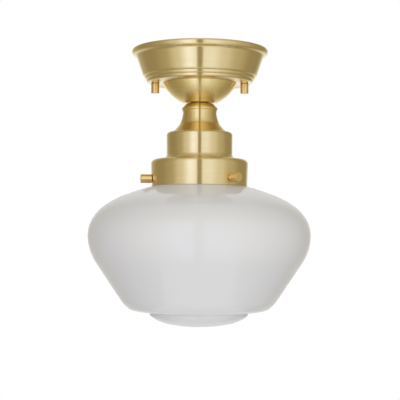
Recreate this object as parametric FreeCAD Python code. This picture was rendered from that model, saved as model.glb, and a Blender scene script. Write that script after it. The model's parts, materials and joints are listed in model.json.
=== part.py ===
import FreeCAD, Part
import math
import os

# Semi flush ceiling light: a brass canopy, bowl, neck and stepped shade holder on one threaded tube,
# with an opal glass shade held by three thumbscrews.
# Millimetres. The origin is the centre of the ceiling plane, +Z up, so the whole light hangs below Z = 0.
# The two canopy nuts lie on the X axis.

# ---- general fits ---------------------------------------------------------------------------------
RUNNING = 0.05          # radial clearance of a part that turns or slides in a hole
SEAT_GAP = 0.1          # gap between faces that move apart
LOOSE_HOLE = 0.35       # radial clearance of a hole that a stud only passes through
EDGE_BREAK = 0.4        # chamfer on turned ends
SAME_POINT = 1e-9       # two points closer than this are one
NUT_CHAMFER_SHARE = 0.6     # of the way from a nut's flats to its corners

# ---- swivel crossbar ------------------------------------------------------------------------------
STRAP_WIDTH = 16.0
STRAP_THICKNESS = 2.0
STRAP_END_MARGIN = 9.0          # strap beyond the centre of its outermost hole or slot
BOX_SCREW_SPACING = 88.9        # between the two ceiling box screws
BOX_SLOT_LENGTH = 12.0
BOX_SLOT_WIDTH = 5.0
STUD_SPACING = 98.4             # between the two canopy studs
STUD_R = 2.05                   # 8-32 thread
STUD_ABOVE_STRAP = 1.5
STUD_BELOW_CANOPY = 8.0
LOCK_NUT_FLATS = 8.7
LOCK_NUT_THICKNESS = 3.3
EYELET_R = 7.0
EYELET_BORE_R = 5.2
EYELET_FLANGE = 2.4
EYELET_FLANGE_THICKNESS = 1.0
EARTH_SCREW_X = 26.0
EARTH_SCREW_R = 2.05
EARTH_HEAD_FLATS = 8.0
EARTH_HEAD_THICKNESS = 2.4
EARTH_SCREW_ABOVE_STRAP = 1.0

# ---- canopy ---------------------------------------------------------------------------------------
CANOPY_WALL = 0.8
CANOPY_DEPTH = 37.4
CANOPY_MOUTH_R = 70.0           # inner edge of the flat that meets the ceiling
LIP_R = 75.15
LIP_TOP_ROUND = 3.0
LIP_UNDER_IN = 3.0              # the lip's underside ends this far in from its widest part
LIP_UNDER_FALL = 4.03           # and this far below it
LIP_BULGE = 0.83
LIP_HEIGHT = 9.5                # down to the end of the cove under the lip
WALL_TOP_R = 69.55
WALL_BOTTOM_R = 63.3
ROLL_IN = 2.3                   # the wall's rolled lower corner
ROLL_HEIGHT = 2.6
ROLL_BULGE = 0.35
RINGS = 2
RING_STEP = 0.2                 # sloping ledge before each ring
RING_WIDTH = 1.9
RING_HEIGHT = 3.4
RING_BULGE = 0.8
RING_GROOVE = 0.1

# ---- canopy nuts ----------------------------------------------------------------------------------
CAP_NUT_R = 4.5
CAP_NUT_LENGTH = 11.0
CAP_NUT_BORE_DEPTH = 8.9

# ---- bowl and neck --------------------------------------------------------------------------------
BOWL_WALL = 1.0
BOWL_RIM_R = 40.7
BOWL_FOOT_R = 18.2
BOWL_DEPTH = 21.9
BOWL_BULGE = 2.9
BOWL_INNER_FOOT_IN = 0.5        # the inside's foot, from the outside's foot
NECK_WALL = 2.0
NECK_GROOVE_R = 13.5
NECK_GROOVE_HEIGHT = 1.4
BEAD_TOP_R = 15.3
BEAD_R = 20.0
BEAD_HEIGHT = 6.8
BEAD_FOOT_R = 19.0
NECK_WAIST_R = 18.5
NECK_WAIST_HEIGHT = 2.8
BELL_HEIGHT = 21.2
BELL_R = 29.4
BELL_BULGE = 2.3
BELL_EDGE = 0.5

# ---- shade holder ---------------------------------------------------------------------------------
HOLDER_WALL = 1.05
CUP_R = 36.4
CUP_ROUND = 3.7
CUP_WALL_HEIGHT = 21.1
CUP_WALL_BOTTOM_R = 36.2
COVE_HEIGHT = 4.8
COVE_R = 38.1
COVE_BULGE = 0.5
COLLAR_R = 53.55
COLLAR_ROUND = 5.2
COLLAR_HEIGHT = 29.5
COLLAR_TAPER_IN = 0.85          # how much narrower the collar's bottom edge is
COLLAR_STEP = 0.6

# ---- threaded tube and its nuts -------------------------------------------------------------------
TUBE_R = 5.1
TUBE_BORE_R = 3.6
TUBE_ABOVE_NUT = 1.5
TUBE_NUT_FLATS = 16.0
TUBE_NUT_THICKNESS = 4.0
WASHER_R = 9.0
WASHER_THICKNESS = 0.8

# ---- lampholder -----------------------------------------------------------------------------------
BRACKET_THICKNESS = 1.2
BRACKET_WIDTH = 12.0
BRACKET_HALF_SPAN = 13.5        # outside of the legs
BRACKET_LEG = 20.0
BRACKET_FOOT = 5.6
BRACKET_SCREW_R = 1.6
BRACKET_SCREW_HEAD_R = 2.6
BRACKET_SCREW_HEAD = 1.6
BRACKET_SCREW_LENGTH = 5.0
BODY_TOP_R = 20.5
BODY_MOUTH_R = 22.0
BODY_HEIGHT = 36.0
BODY_FLOOR = 8.0
TERMINAL_LENGTH = 10.0
TERMINAL_WIDTH = 6.0
TERMINAL_THICKNESS = 1.0
TERMINAL_INNER_Y = 6.5
TERMINAL_SCREW_R = 1.6
TERMINAL_HEAD_R = 2.6
TERMINAL_HEAD = 1.6
TERMINAL_SCREW_LENGTH = 5.0
SHELL_WALL = 0.4
THREAD_R = 13.0                 # crest radius of the lamp cap
THREAD_PITCH = 3.63
THREAD_DEPTH = 0.6
THREAD_TURNS = 6
THREAD_PLAY = 0.25              # between the bulb's cap and the screw shell
CONTACT_R = 6.0
CONTACT_THICKNESS = 0.6
CONTACT_BUTTON_R = 3.0
CONTACT_BUTTON_HEIGHT = 1.6

# ---- bulb -----------------------------------------------------------------------------------------
TIP_R = 4.4
TIP_HEIGHT = 1.2
INSULATOR_R = 9.0
INSULATOR_HEIGHT = 2.6
BULB_WALL = 0.8
BULB_NECK_IN = 0.4              # the glass neck inside the cap's edge
BULB_NECK_STRAIGHT = 2.7
BULB_SHOULDER_OUT = 7.4         # shoulder from the neck
BULB_SHOULDER_FALL = 19.3
BULB_WIDEST_OUT = 10.0          # widest part from the shoulder
BULB_WIDEST_FALL = 26.0

# ---- leads ----------------------------------------------------------------------------------------
LEAD_R = 1.0
LEAD_BEND_R = 6.0
LEAD_IN_TUBE_Y = 1.6
LEAD_TERMINAL_Y = 9.0
LEAD_TERMINAL_RISE = 4.5
LEAD_RISE = 10.0                # from the tube's top to the level stretch in the canopy
LEAD_REACH = 22.0               # radius at which the connector starts
EARTH_LEAD_ANGLE = 305.0
EARTH_LUG_R = 3.6
EARTH_LUG_THICKNESS = 1.6
EARTH_LUG_RADIUS = 23.0         # from the axis
EARTH_LEAD_REACH = 36.0
CONNECTOR_MOUTH_R = 4.6
CONNECTOR_END_R = 3.0
CONNECTOR_LENGTH = 15.0

# ---- thumbscrews ----------------------------------------------------------------------------------
THUMB_ANGLES = {"front": -50.0, "left": -170.0, "back": 70.0}
THUMB_ABOVE_EDGE = 7.9          # axis above the collar's bottom edge
THUMB_HEAD_R = 4.9
THUMB_HEAD_LENGTH = 12.0
THUMB_SHANK_R = 2.05
INSERT_R = 3.8
INSERT_THICKNESS = 1.5

# ---- glass shade ----------------------------------------------------------------------------------
GLASS_WALL = 3.0
GLASS_NECK_PLAY = 2.95          # between the neck and the collar's inside
GLASS_LIP = 1.1                 # how far the lip stands out from the neck
GLASS_LIP_HEIGHT = 4.0
GLASS_NECK_HEIGHT = 21.0        # from the collar's bottom edge up to the lip's top
GLASS_TIP_GAP = 0.3             # thumbscrew tip to the neck
GLASS_SEAT_DROP = 0.3           # shoulder below the collar's edge
GLASS_NECK_ROUND = 2.9          # how far the round under the neck stands out
GLASS_NECK_ROUND_HEIGHT = 3.77
# Steps down the outside, each from the end of the step before it: out or in, and down.
SHOULDER_OUT, SHOULDER_FALL = 31.2, 10.2
UPPER_BELLY_OUT, UPPER_BELLY_FALL = 20.7, 11.1
LOWER_BELLY_OUT, LOWER_BELLY_FALL = 13.4, 14.4
BELLY_OUT, BELLY_FALL = 5.1, 19.0
HIP_IN, HIP_FALL = 2.3, 14.6
SIDE_TOP_IN, SIDE_TOP_FALL = 8.2, 16.8
SIDE_IN, SIDE_FALL = 25.8, 38.5
HEEL_IN, HEEL_FALL = 7.8, 8.5
FOOT_IN, FOOT_FALL = 5.3, 2.6
CREASE_IN, CREASE_FALL = 17.3, 3.8
CAP_START_IN, CAP_START_FALL = 0.9, 1.2
CAP_IN, CAP_FALL = 8.1, 6.0
CAP_POLE_FALL = 7.4

# ---- levels, worked out from the sizes above ------------------------------------------------------
stud_strap_top = -STRAP_THICKNESS - SEAT_GAP
stud_strap_bottom = stud_strap_top - STRAP_THICKNESS
canopy_floor = -CANOPY_DEPTH
canopy_inside = canopy_floor + CANOPY_WALL
bowl_bottom = canopy_floor - BOWL_DEPTH
bead_top = bowl_bottom - NECK_GROOVE_HEIGHT
bead_bottom = bead_top - BEAD_HEIGHT
waist_bottom = bead_bottom - NECK_WAIST_HEIGHT
cup_top = waist_bottom - BELL_HEIGHT
cup_inside = cup_top - HOLDER_WALL
collar_top = cup_top - CUP_ROUND - CUP_WALL_HEIGHT - COVE_HEIGHT - COLLAR_STEP
collar_bottom = collar_top - COLLAR_HEIGHT
tube_top = canopy_inside + WASHER_THICKNESS + TUBE_NUT_THICKNESS + TUBE_ABOVE_NUT
bracket_bottom = cup_inside - BRACKET_THICKNESS
tube_bottom = bracket_bottom - WASHER_THICKNESS - TUBE_NUT_THICKNESS - TUBE_ABOVE_NUT
body_top = bracket_bottom - BRACKET_LEG
body_bottom = body_top - BODY_HEIGHT
body_floor = body_top - BODY_FLOOR
terminal_top = body_top + TERMINAL_THICKNESS
tip_top = body_floor - CONTACT_THICKNESS - CONTACT_BUTTON_HEIGHT - SEAT_GAP
cap_top = tip_top - TIP_HEIGHT - INSULATOR_HEIGHT
cap_bottom = cap_top - THREAD_TURNS * THREAD_PITCH
thumb_z = collar_bottom + THUMB_ABOVE_EDGE
lip_top = collar_bottom + GLASS_NECK_HEIGHT

roll_foot_r = WALL_BOTTOM_R - ROLL_IN
ring_outer_radii = [roll_foot_r - RING_STEP - i * (RING_WIDTH + RING_STEP) for i in range(RINGS)]
roll_foot = canopy_floor + RINGS * RING_HEIGHT
stud_x = STUD_SPACING / 2
hole_r = STUD_R + LOOSE_HOLE
tube_hole_r = TUBE_R + RUNNING
shell_inner_r = THREAD_R + THREAD_PLAY
collar_bottom_r = COLLAR_R - COLLAR_TAPER_IN
collar_taper = COLLAR_TAPER_IN / (COLLAR_HEIGHT - COLLAR_ROUND)
collar_wall_across = HOLDER_WALL * math.hypot(1, collar_taper)
glass_neck_r = collar_bottom_r - collar_wall_across - GLASS_NECK_PLAY
thumb_tip = glass_neck_r + GLASS_TIP_GAP
collar_outside = collar_bottom_r + collar_taper * THUMB_ABOVE_EDGE
collar_inside = collar_outside - HOLDER_WALL
thumb_head_start = collar_outside + collar_taper * THUMB_HEAD_R + SEAT_GAP

ORIGIN = FreeCAD.Vector(0, 0, 0)
UP = FreeCAD.Vector(0, 0, 1)


class Outline:
    """A chain of straight runs and arcs in the half plane of radius and height."""

    def __init__(self, radius, height):
        self.start = FreeCAD.Vector(radius, 0, height)
        self.end = self.start
        self.heading = 0.0
        self.edges = []

    def line(self, radius, height):
        """Goes straight to a point."""
        goal = FreeCAD.Vector(radius, 0, height)
        self.edges.append(Part.LineSegment(self.end, goal).toShape())
        self.heading = math.atan2(goal.z - self.end.z, goal.x - self.end.x)
        self.end = goal
        return self

    def bulge(self, radius, height, rise):
        """Goes to a point on an arc whose middle stands to the left of the chord by the rise."""
        goal = FreeCAD.Vector(radius, 0, height)
        chord = goal - self.end
        left = FreeCAD.Vector(-chord.z, 0, chord.x)
        left.normalize()
        middle = (self.end + goal) * 0.5 + left * rise
        self.edges.append(Part.Arc(self.end, middle, goal).toShape())
        self.heading = math.atan2(chord.z, chord.x) - 2 * math.atan(2 * rise / chord.Length)
        self.end = goal
        return self

    def smooth(self, radius, height):
        """Goes to a point on the one arc that leaves in the direction of the last piece."""
        across = radius - self.end.x
        down = height - self.end.z
        turn = math.atan2(down, across) - self.heading
        turn = math.atan2(math.sin(turn), math.cos(turn))
        rise = -math.hypot(across, down) / 2 * math.tan(turn / 2)
        return self.bulge(radius, height, rise)

    def pole(self, height):
        """Goes to the axis on an arc that is level there."""
        fall = self.end.z - height
        sphere_r = (self.end.x**2 + fall**2) / (2 * abs(fall))
        half_chord = math.hypot(self.end.x, fall) / 2
        rise = sphere_r - math.sqrt(sphere_r**2 - half_chord**2)
        return self.bulge(0, height, math.copysign(rise, fall))

    def turned(self):
        """The solid of revolution that the closed outline sweeps."""
        if (self.end - self.start).Length > SAME_POINT:
            self.line(self.start.x, self.start.z)
        return spin(Part.Face(Part.Wire(self.edges)))

    def shell(self, wall):
        """The sheet of revolution whose wall lies to the left of the outline."""
        return spin(Part.Wire(self.edges).makeOffset2D(wall, 0, True, True))


def spin(face):
    """Turns a face a full circle about the Z axis."""
    return face.revolve(ORIGIN, UP, 360)


def cylinder(radius, bottom, top, x=0.0, y=0.0):
    """An upright cylinder between two levels."""
    return Part.makeCylinder(radius, top - bottom, FreeCAD.Vector(x, y, bottom))


def ring(outer_r, inner_r, bottom, top, x=0.0, y=0.0):
    """An upright cylinder with a hole through it."""
    return cylinder(outer_r, bottom, top, x, y).cut(cylinder(inner_r, bottom, top, x, y))


def block(x_low, x_high, y_low, y_high, z_low, z_high):
    """A box given by its faces."""
    size = (x_high - x_low, y_high - y_low, z_high - z_low)
    return Part.makeBox(*size, FreeCAD.Vector(x_low, y_low, z_low))


def hexagon(flats, bottom, top, x=0.0, y=0.0):
    """A hexagonal prism with the ends turned back to its flats."""
    corner_r = flats / 2 / math.cos(math.radians(30))
    corners = []
    for i in range(7):
        angle = math.radians(60 * i)
        corners.append(FreeCAD.Vector(x + corner_r * math.cos(angle), y + corner_r * math.sin(angle), bottom))
    prism = Part.Face(Part.makePolygon(corners)).extrude(UP * (top - bottom))
    rounding = (corner_r - flats / 2) * NUT_CHAMFER_SHARE
    trimmed = cylinder(corner_r, bottom, top, x, y)
    rims = [edge for edge in trimmed.Edges if isinstance(edge.Curve, Part.Circle)]
    return prism.common(trimmed.makeChamfer(rounding, rims))


def hex_nut(flats, bore_r, bottom, top, x=0.0, y=0.0):
    """A hexagonal nut with a plain bore."""
    return hexagon(flats, bottom, top, x, y).cut(cylinder(bore_r, bottom, top, x, y))


def turn_to(shape, degrees):
    """A copy of a shape turned about the Z axis."""
    turned = shape.copy()
    turned.rotate(ORIGIN, UP, degrees)
    return turned


def radial_cylinder(radius, start, end, z):
    """A cylinder along +X from one radius to another, at a level."""
    return Part.makeCylinder(radius, end - start, FreeCAD.Vector(start, 0, z), FreeCAD.Vector(1, 0, 0))


def pair(shapes):
    """Separate solids kept together in one node."""
    return Part.makeCompound(list(shapes))


def bent_lead(points, bend_r):
    """A round lead along straight runs that are joined by tangent arcs."""
    corners = [FreeCAD.Vector(*point) for point in points]
    edges = []
    at = corners[0]
    for before, corner, after in zip(corners, corners[1:], corners[2:]):
        back = before - corner
        on = after - corner
        back.normalize()
        on.normalize()
        half = back.getAngle(on) / 2
        reach = bend_r / math.tan(half)
        first = corner + back * reach
        last = corner + on * reach
        bisector = back + on
        bisector.normalize()
        middle = corner + bisector * (bend_r / math.sin(half) - bend_r)
        edges.append(Part.LineSegment(at, first).toShape())
        edges.append(Part.Arc(first, middle, last).toShape())
        at = last
    edges.append(Part.LineSegment(at, corners[-1]).toShape())
    path = Part.Wire(edges)
    rim = Part.Wire(Part.makeCircle(LEAD_R, corners[0], corners[1] - corners[0]))
    return path.makePipeShell([rim], True, True)


# ---- swivel crossbar ------------------------------------------------------------------------------
def strap(half_length, bottom, bore_r):
    """A flat strap along X with round ends and a bore in its middle."""
    half_width = STRAP_WIDTH / 2
    straight = half_length - half_width
    top = bottom + STRAP_THICKNESS
    bar = block(-straight, straight, -half_width, half_width, bottom, top)
    for x in (-straight, straight):
        bar = bar.fuse(cylinder(half_width, bottom, top, x))
    return bar.removeSplitter().cut(cylinder(bore_r, bottom, top))


def box_strap():
    """The strap along Y that takes the ceiling box's two screws, in slots."""
    half_slot = (BOX_SLOT_LENGTH - BOX_SLOT_WIDTH) / 2
    slot_x = BOX_SCREW_SPACING / 2
    bar = strap(slot_x + BOX_SLOT_LENGTH / 2 + STRAP_END_MARGIN, -STRAP_THICKNESS, EYELET_R)
    slot_r = BOX_SLOT_WIDTH / 2
    for side in (-1, 1):
        for x in (slot_x - half_slot, slot_x + half_slot):
            bar = bar.cut(cylinder(slot_r, -STRAP_THICKNESS, 0, side * x))
        ends = sorted((side * (slot_x - half_slot), side * (slot_x + half_slot)))
        bar = bar.cut(block(ends[0], ends[1], -slot_r, slot_r, -STRAP_THICKNESS, 0))
    return turn_to(bar, 90)


def stud_strap():
    """The lower strap along X, which turns on the eyelet and carries the studs."""
    bar = strap(stud_x + STRAP_END_MARGIN, stud_strap_bottom, EYELET_R + RUNNING)
    for x in (-stud_x, stud_x):
        bar = bar.cut(cylinder(STUD_R, stud_strap_bottom, stud_strap_top, x))
    return bar.cut(cylinder(EARTH_SCREW_R, stud_strap_bottom, stud_strap_top, EARTH_SCREW_X))


def swivel_eyelet():
    """The flanged eyelet that the stud strap turns on."""
    under = stud_strap_bottom - SEAT_GAP
    flange_r = EYELET_R + EYELET_FLANGE
    sleeve = Outline(EYELET_BORE_R, EYELET_FLANGE_THICKNESS)
    sleeve.line(flange_r, EYELET_FLANGE_THICKNESS).line(flange_r, 0).line(EYELET_R, 0)
    sleeve.line(EYELET_R, under).line(flange_r, under)
    sleeve.line(flange_r, under - EYELET_FLANGE_THICKNESS)
    sleeve.line(EYELET_BORE_R, under - EYELET_FLANGE_THICKNESS)
    return sleeve.turned()


def stud(x):
    """One threaded stud, from above its strap to inside the cap nut."""
    bottom = canopy_floor - STUD_BELOW_CANOPY
    top = stud_strap_top + STUD_ABOVE_STRAP
    rod = Outline(0, top).line(0, bottom).line(STUD_R - EDGE_BREAK, bottom)
    rod.line(STUD_R, bottom + EDGE_BREAK).line(STUD_R, top - EDGE_BREAK).line(STUD_R - EDGE_BREAK, top)
    solid = rod.turned()
    solid.translate(FreeCAD.Vector(x, 0, 0))
    return solid


def stud_lock_nut(x):
    """The nut that locks a stud under the strap."""
    bottom = stud_strap_bottom - LOCK_NUT_THICKNESS
    return hex_nut(LOCK_NUT_FLATS, STUD_R, bottom, stud_strap_bottom, x)


def earth_screw():
    """The hexagon-head earth screw under the stud strap."""
    head_bottom = stud_strap_bottom - EARTH_HEAD_THICKNESS
    head = hexagon(EARTH_HEAD_FLATS, head_bottom, stud_strap_bottom, EARTH_SCREW_X)
    shank_top = stud_strap_top + EARTH_SCREW_ABOVE_STRAP
    return head.fuse(cylinder(EARTH_SCREW_R, head_bottom, shank_top, EARTH_SCREW_X))


# ---- canopy ---------------------------------------------------------------------------------------
def canopy():
    """The spun pan: rolled lip over a cove, tapering wall, two small rings and a flat underside."""
    last_r = ring_outer_radii[-1] - RING_WIDTH
    pan = Outline(tube_hole_r, canopy_floor).line(last_r, canopy_floor)
    for i in reversed(range(RINGS)):
        ring_top = roll_foot - i * RING_HEIGHT
        pan.bulge(ring_outer_radii[i], ring_top - RING_GROOVE, -RING_BULGE)
        pan.line(ring_outer_radii[i] + RING_STEP, ring_top)
    pan.bulge(WALL_BOTTOM_R, roll_foot + ROLL_HEIGHT, -ROLL_BULGE)
    pan.line(WALL_TOP_R, -LIP_HEIGHT)
    pan.smooth(LIP_R - LIP_UNDER_IN, -LIP_TOP_ROUND - LIP_UNDER_FALL)
    pan.bulge(LIP_R, -LIP_TOP_ROUND, -LIP_BULGE)
    pan.smooth(LIP_R - LIP_TOP_ROUND, 0)
    pan.line(CANOPY_MOUTH_R, 0)
    sheet = pan.shell(CANOPY_WALL)
    for x in (-stud_x, stud_x):
        sheet = sheet.cut(cylinder(hole_r, canopy_floor, canopy_inside, x))
    return sheet


def cap_nut(x):
    """A closed round nut that runs up its stud against the canopy."""
    top = canopy_floor - SEAT_GAP
    bottom = top - CAP_NUT_LENGTH
    nut = Outline(0, top - CAP_NUT_BORE_DEPTH).line(0, bottom).line(CAP_NUT_R - EDGE_BREAK, bottom)
    nut.line(CAP_NUT_R, bottom + EDGE_BREAK).line(CAP_NUT_R, top).line(STUD_R + RUNNING, top)
    nut.line(STUD_R + RUNNING, top - CAP_NUT_BORE_DEPTH)
    solid = nut.turned()
    solid.translate(FreeCAD.Vector(x, 0, 0))
    return solid


# ---- bowl and neck --------------------------------------------------------------------------------
def bowl():
    """The domed cover between the canopy and the neck."""
    dome = Outline(tube_hole_r, bowl_bottom).line(BOWL_FOOT_R, bowl_bottom)
    dome.bulge(BOWL_RIM_R, canopy_floor, -BOWL_BULGE).line(BOWL_RIM_R - BOWL_WALL, canopy_floor)
    dome.bulge(BOWL_FOOT_R - BOWL_INNER_FOOT_IN, bowl_bottom + BOWL_WALL, BOWL_BULGE)
    return dome.line(tube_hole_r, bowl_bottom + BOWL_WALL).turned()


def neck():
    """The hollow casting with a bead at its top and a bell flare below."""
    bell_low = cup_top + BELL_EDGE
    web = bead_top - NECK_WALL
    cast = Outline(tube_hole_r, bowl_bottom).line(tube_hole_r, web)
    cast.line(NECK_GROOVE_R - NECK_WALL, web).line(NECK_WAIST_R - NECK_WALL, bead_bottom)
    cast.line(NECK_WAIST_R - NECK_WALL, waist_bottom).bulge(BELL_R - NECK_WALL, cup_top, -BELL_BULGE)
    cast.line(BELL_R, cup_top).line(BELL_R, bell_low)
    cast.bulge(NECK_WAIST_R, waist_bottom, BELL_BULGE).line(BEAD_FOOT_R, bead_bottom)
    cast.bulge(BEAD_TOP_R, bead_top, -bead_rise())
    cast.line(NECK_GROOVE_R, bead_top).line(NECK_GROOVE_R, bowl_bottom)
    return cast.turned()


def bead_rise():
    """How far the bead's middle stands out from the chord between its two ends."""
    return BEAD_R - (BEAD_TOP_R + BEAD_FOOT_R) / 2


# ---- shade holder ---------------------------------------------------------------------------------
def shade_holder():
    """The stepped spinning: a cup over a wide collar, with three holes for the thumbscrews."""
    cup_low = cup_top - CUP_ROUND - CUP_WALL_HEIGHT
    cove_low = cup_low - COVE_HEIGHT
    wall = Outline(collar_bottom_r, collar_bottom)
    wall.line(COLLAR_R, collar_top - COLLAR_ROUND)
    wall.smooth(COLLAR_R - COLLAR_ROUND, collar_top)
    wall.line(COVE_R, collar_top).line(COVE_R, cove_low)
    wall.bulge(CUP_WALL_BOTTOM_R, cup_low, COVE_BULGE)
    wall.line(CUP_R, cup_top - CUP_ROUND)
    wall.smooth(CUP_R - CUP_ROUND, cup_top)
    wall.line(tube_hole_r, cup_top)
    spun = wall.shell(HOLDER_WALL)
    for angle in THUMB_ANGLES.values():
        drill = radial_cylinder(THUMB_SHANK_R + RUNNING, thumb_tip, thumb_head_start, thumb_z)
        spun = spun.cut(turn_to(drill, angle))
    return spun


def thread_insert(angle):
    """The threaded boss behind one thumbscrew hole, curved to the collar's inside."""
    boss = radial_cylinder(INSERT_R, collar_inside - INSERT_THICKNESS, collar_outside, thumb_z)
    boss = boss.cut(radial_cylinder(THUMB_SHANK_R + RUNNING, 0, collar_outside, thumb_z))
    lower_r = collar_bottom_r - collar_wall_across
    upper_r = COLLAR_R - collar_wall_across
    bore = Part.makeCone(lower_r, upper_r, COLLAR_HEIGHT - COLLAR_ROUND, FreeCAD.Vector(0, 0, collar_bottom))
    return turn_to(boss.common(bore), angle)


def thumbscrew(angle):
    """A plain round-headed screw that points at the glass neck."""
    tip = thumb_tip
    shank = radial_cylinder(THUMB_SHANK_R, tip, thumb_head_start, thumb_z)
    head = radial_cylinder(THUMB_HEAD_R, thumb_head_start, thumb_head_start + THUMB_HEAD_LENGTH, thumb_z)
    rims = [edge for edge in head.Edges if isinstance(edge.Curve, Part.Circle)]
    head = head.makeChamfer(EDGE_BREAK, rims)
    return turn_to(head.fuse(shank), angle)


# ---- threaded tube --------------------------------------------------------------------------------
def threaded_tube():
    """The hollow rod that clamps canopy, bowl, neck and holder together and carries the leads."""
    return ring(TUBE_R, TUBE_BORE_R, tube_bottom, tube_top)


def canopy_tube_washer():
    """The washer on the canopy's floor."""
    return ring(WASHER_R, TUBE_R, canopy_inside, canopy_inside + WASHER_THICKNESS)


def canopy_tube_nut():
    """The nut at the top of the tube."""
    bottom = canopy_inside + WASHER_THICKNESS
    return hex_nut(TUBE_NUT_FLATS, TUBE_R, bottom, bottom + TUBE_NUT_THICKNESS)


def holder_tube_washer():
    """The washer under the lampholder's bracket."""
    return ring(WASHER_R, TUBE_R, bracket_bottom - WASHER_THICKNESS, bracket_bottom)


def holder_tube_nut():
    """The nut at the bottom of the tube."""
    top = bracket_bottom - WASHER_THICKNESS
    return hex_nut(TUBE_NUT_FLATS, TUBE_R, top - TUBE_NUT_THICKNESS, top)


# ---- lampholder -----------------------------------------------------------------------------------
def bracket_screw_x():
    """Where the bracket's foot is screwed down."""
    return BRACKET_HALF_SPAN + BRACKET_FOOT / 2


def socket_bracket():
    """The hat-shaped strap that hangs the lampholder from the tube."""
    half = BRACKET_WIDTH / 2
    span = BRACKET_HALF_SPAN
    foot_top = body_top + BRACKET_THICKNESS
    hat = block(-span, span, -half, half, bracket_bottom, cup_inside)
    for side in (-1, 1):
        leg = sorted((side * span, side * (span - BRACKET_THICKNESS)))
        hat = hat.fuse(block(leg[0], leg[1], -half, half, body_top, cup_inside))
        foot = sorted((side * (span - BRACKET_THICKNESS), side * (span + BRACKET_FOOT)))
        plate = block(foot[0], foot[1], -half, half, body_top, foot_top)
        plate = plate.cut(cylinder(BRACKET_SCREW_R, body_top, foot_top, side * bracket_screw_x()))
        hat = hat.fuse(plate)
    return hat.removeSplitter().cut(cylinder(tube_hole_r, bracket_bottom, cup_inside))


def pan_screw(radius, head_r, head, length, x, y, seat):
    """A screw with a domed head that stands on a seat."""
    dome = Outline(0, seat).line(head_r, seat).line(head_r, seat + head / 2)
    dome.pole(seat + head)
    screw = dome.turned().fuse(cylinder(radius, seat - length, seat))
    screw.translate(FreeCAD.Vector(x, y, 0))
    return screw


def bracket_screw(side):
    """One of the two screws that hold the bracket on the lampholder."""
    seat = body_top + BRACKET_THICKNESS
    sizes = (BRACKET_SCREW_R, BRACKET_SCREW_HEAD_R, BRACKET_SCREW_HEAD, BRACKET_SCREW_LENGTH)
    return pan_screw(*sizes, side * bracket_screw_x(), 0, seat)


def terminal_screw_y():
    """Where a terminal plate is screwed down."""
    return TERMINAL_INNER_Y + TERMINAL_LENGTH - TERMINAL_HEAD_R - EDGE_BREAK


def terminal_plate(side):
    """One brass terminal plate on top of the lampholder."""
    ends = sorted((side * TERMINAL_INNER_Y, side * (TERMINAL_INNER_Y + TERMINAL_LENGTH)))
    half = TERMINAL_WIDTH / 2
    plate = block(-half, half, ends[0], ends[1], body_top, terminal_top)
    return plate.cut(cylinder(TERMINAL_SCREW_R, body_top, terminal_top, 0, side * terminal_screw_y()))


def terminal_screw(side):
    """The screw of one terminal plate."""
    sizes = (TERMINAL_SCREW_R, TERMINAL_HEAD_R, TERMINAL_HEAD, TERMINAL_SCREW_LENGTH)
    return pan_screw(*sizes, 0, side * terminal_screw_y(), terminal_top)


def thread_rings(outline, radius, bottom):
    """Adds the rings of the lamp thread to an outline, upwards, root and crest by turns."""
    for i in range(THREAD_TURNS):
        outline.line(radius - THREAD_DEPTH, bottom + (i + 0.5) * THREAD_PITCH)
        outline.line(radius, bottom + (i + 1) * THREAD_PITCH)
    return outline


def porcelain_body():
    """The lampholder's body: a floor with screw holes over a deep round cavity."""
    cavity_r = shell_inner_r + SHELL_WALL
    body = Outline(0, body_top).line(0, body_floor).line(cavity_r, body_floor)
    body.line(cavity_r, body_bottom).line(BODY_MOUTH_R - EDGE_BREAK, body_bottom)
    body.line(BODY_MOUTH_R, body_bottom + EDGE_BREAK)
    body.line(BODY_TOP_R, body_top - EDGE_BREAK).line(BODY_TOP_R - EDGE_BREAK, body_top)
    solid = body.turned()
    for side in (-1, 1):
        bracket_hole = body_top + BRACKET_THICKNESS - BRACKET_SCREW_LENGTH
        solid = solid.cut(cylinder(BRACKET_SCREW_R, bracket_hole, body_top, side * bracket_screw_x()))
        terminal_hole = terminal_top - TERMINAL_SCREW_LENGTH
        solid = solid.cut(cylinder(TERMINAL_SCREW_R, terminal_hole, body_top, 0, side * terminal_screw_y()))
    return solid


def screw_shell():
    """The threaded brass sleeve inside the porcelain."""
    outer_r = shell_inner_r + SHELL_WALL
    sleeve = Outline(outer_r, cap_top).line(outer_r, cap_bottom)
    sleeve.line(shell_inner_r, cap_bottom)
    return thread_rings(sleeve, shell_inner_r, cap_bottom).turned()


def centre_contact():
    """The brass contact on the cavity's floor."""
    plate_low = body_floor - CONTACT_THICKNESS
    button_low = plate_low - CONTACT_BUTTON_HEIGHT
    contact = Outline(0, body_floor).line(0, button_low).line(CONTACT_BUTTON_R, button_low)
    return contact.line(CONTACT_BUTTON_R, plate_low).line(CONTACT_R, plate_low).line(CONTACT_R, body_floor).turned()


# ---- bulb -----------------------------------------------------------------------------------------
def bulb_tip():
    """The insulator and centre tip on top of the cap."""
    tip_low = tip_top - TIP_HEIGHT
    tip = Outline(0, tip_top).line(0, cap_top).line(INSULATOR_R, cap_top)
    return tip.line(TIP_R, tip_low).line(TIP_R, tip_top - EDGE_BREAK).line(TIP_R - EDGE_BREAK, tip_top).turned()


def bulb_cap():
    """The bulb's threaded brass cap, a cup that is open below."""
    inner_r = THREAD_R - THREAD_DEPTH - SHELL_WALL
    cup = Outline(0, cap_top - SHELL_WALL).line(inner_r, cap_top - SHELL_WALL).line(inner_r, cap_bottom)
    cup.line(THREAD_R, cap_bottom)
    return thread_rings(cup, THREAD_R, cap_bottom).line(0, cap_top).turned()


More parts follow.
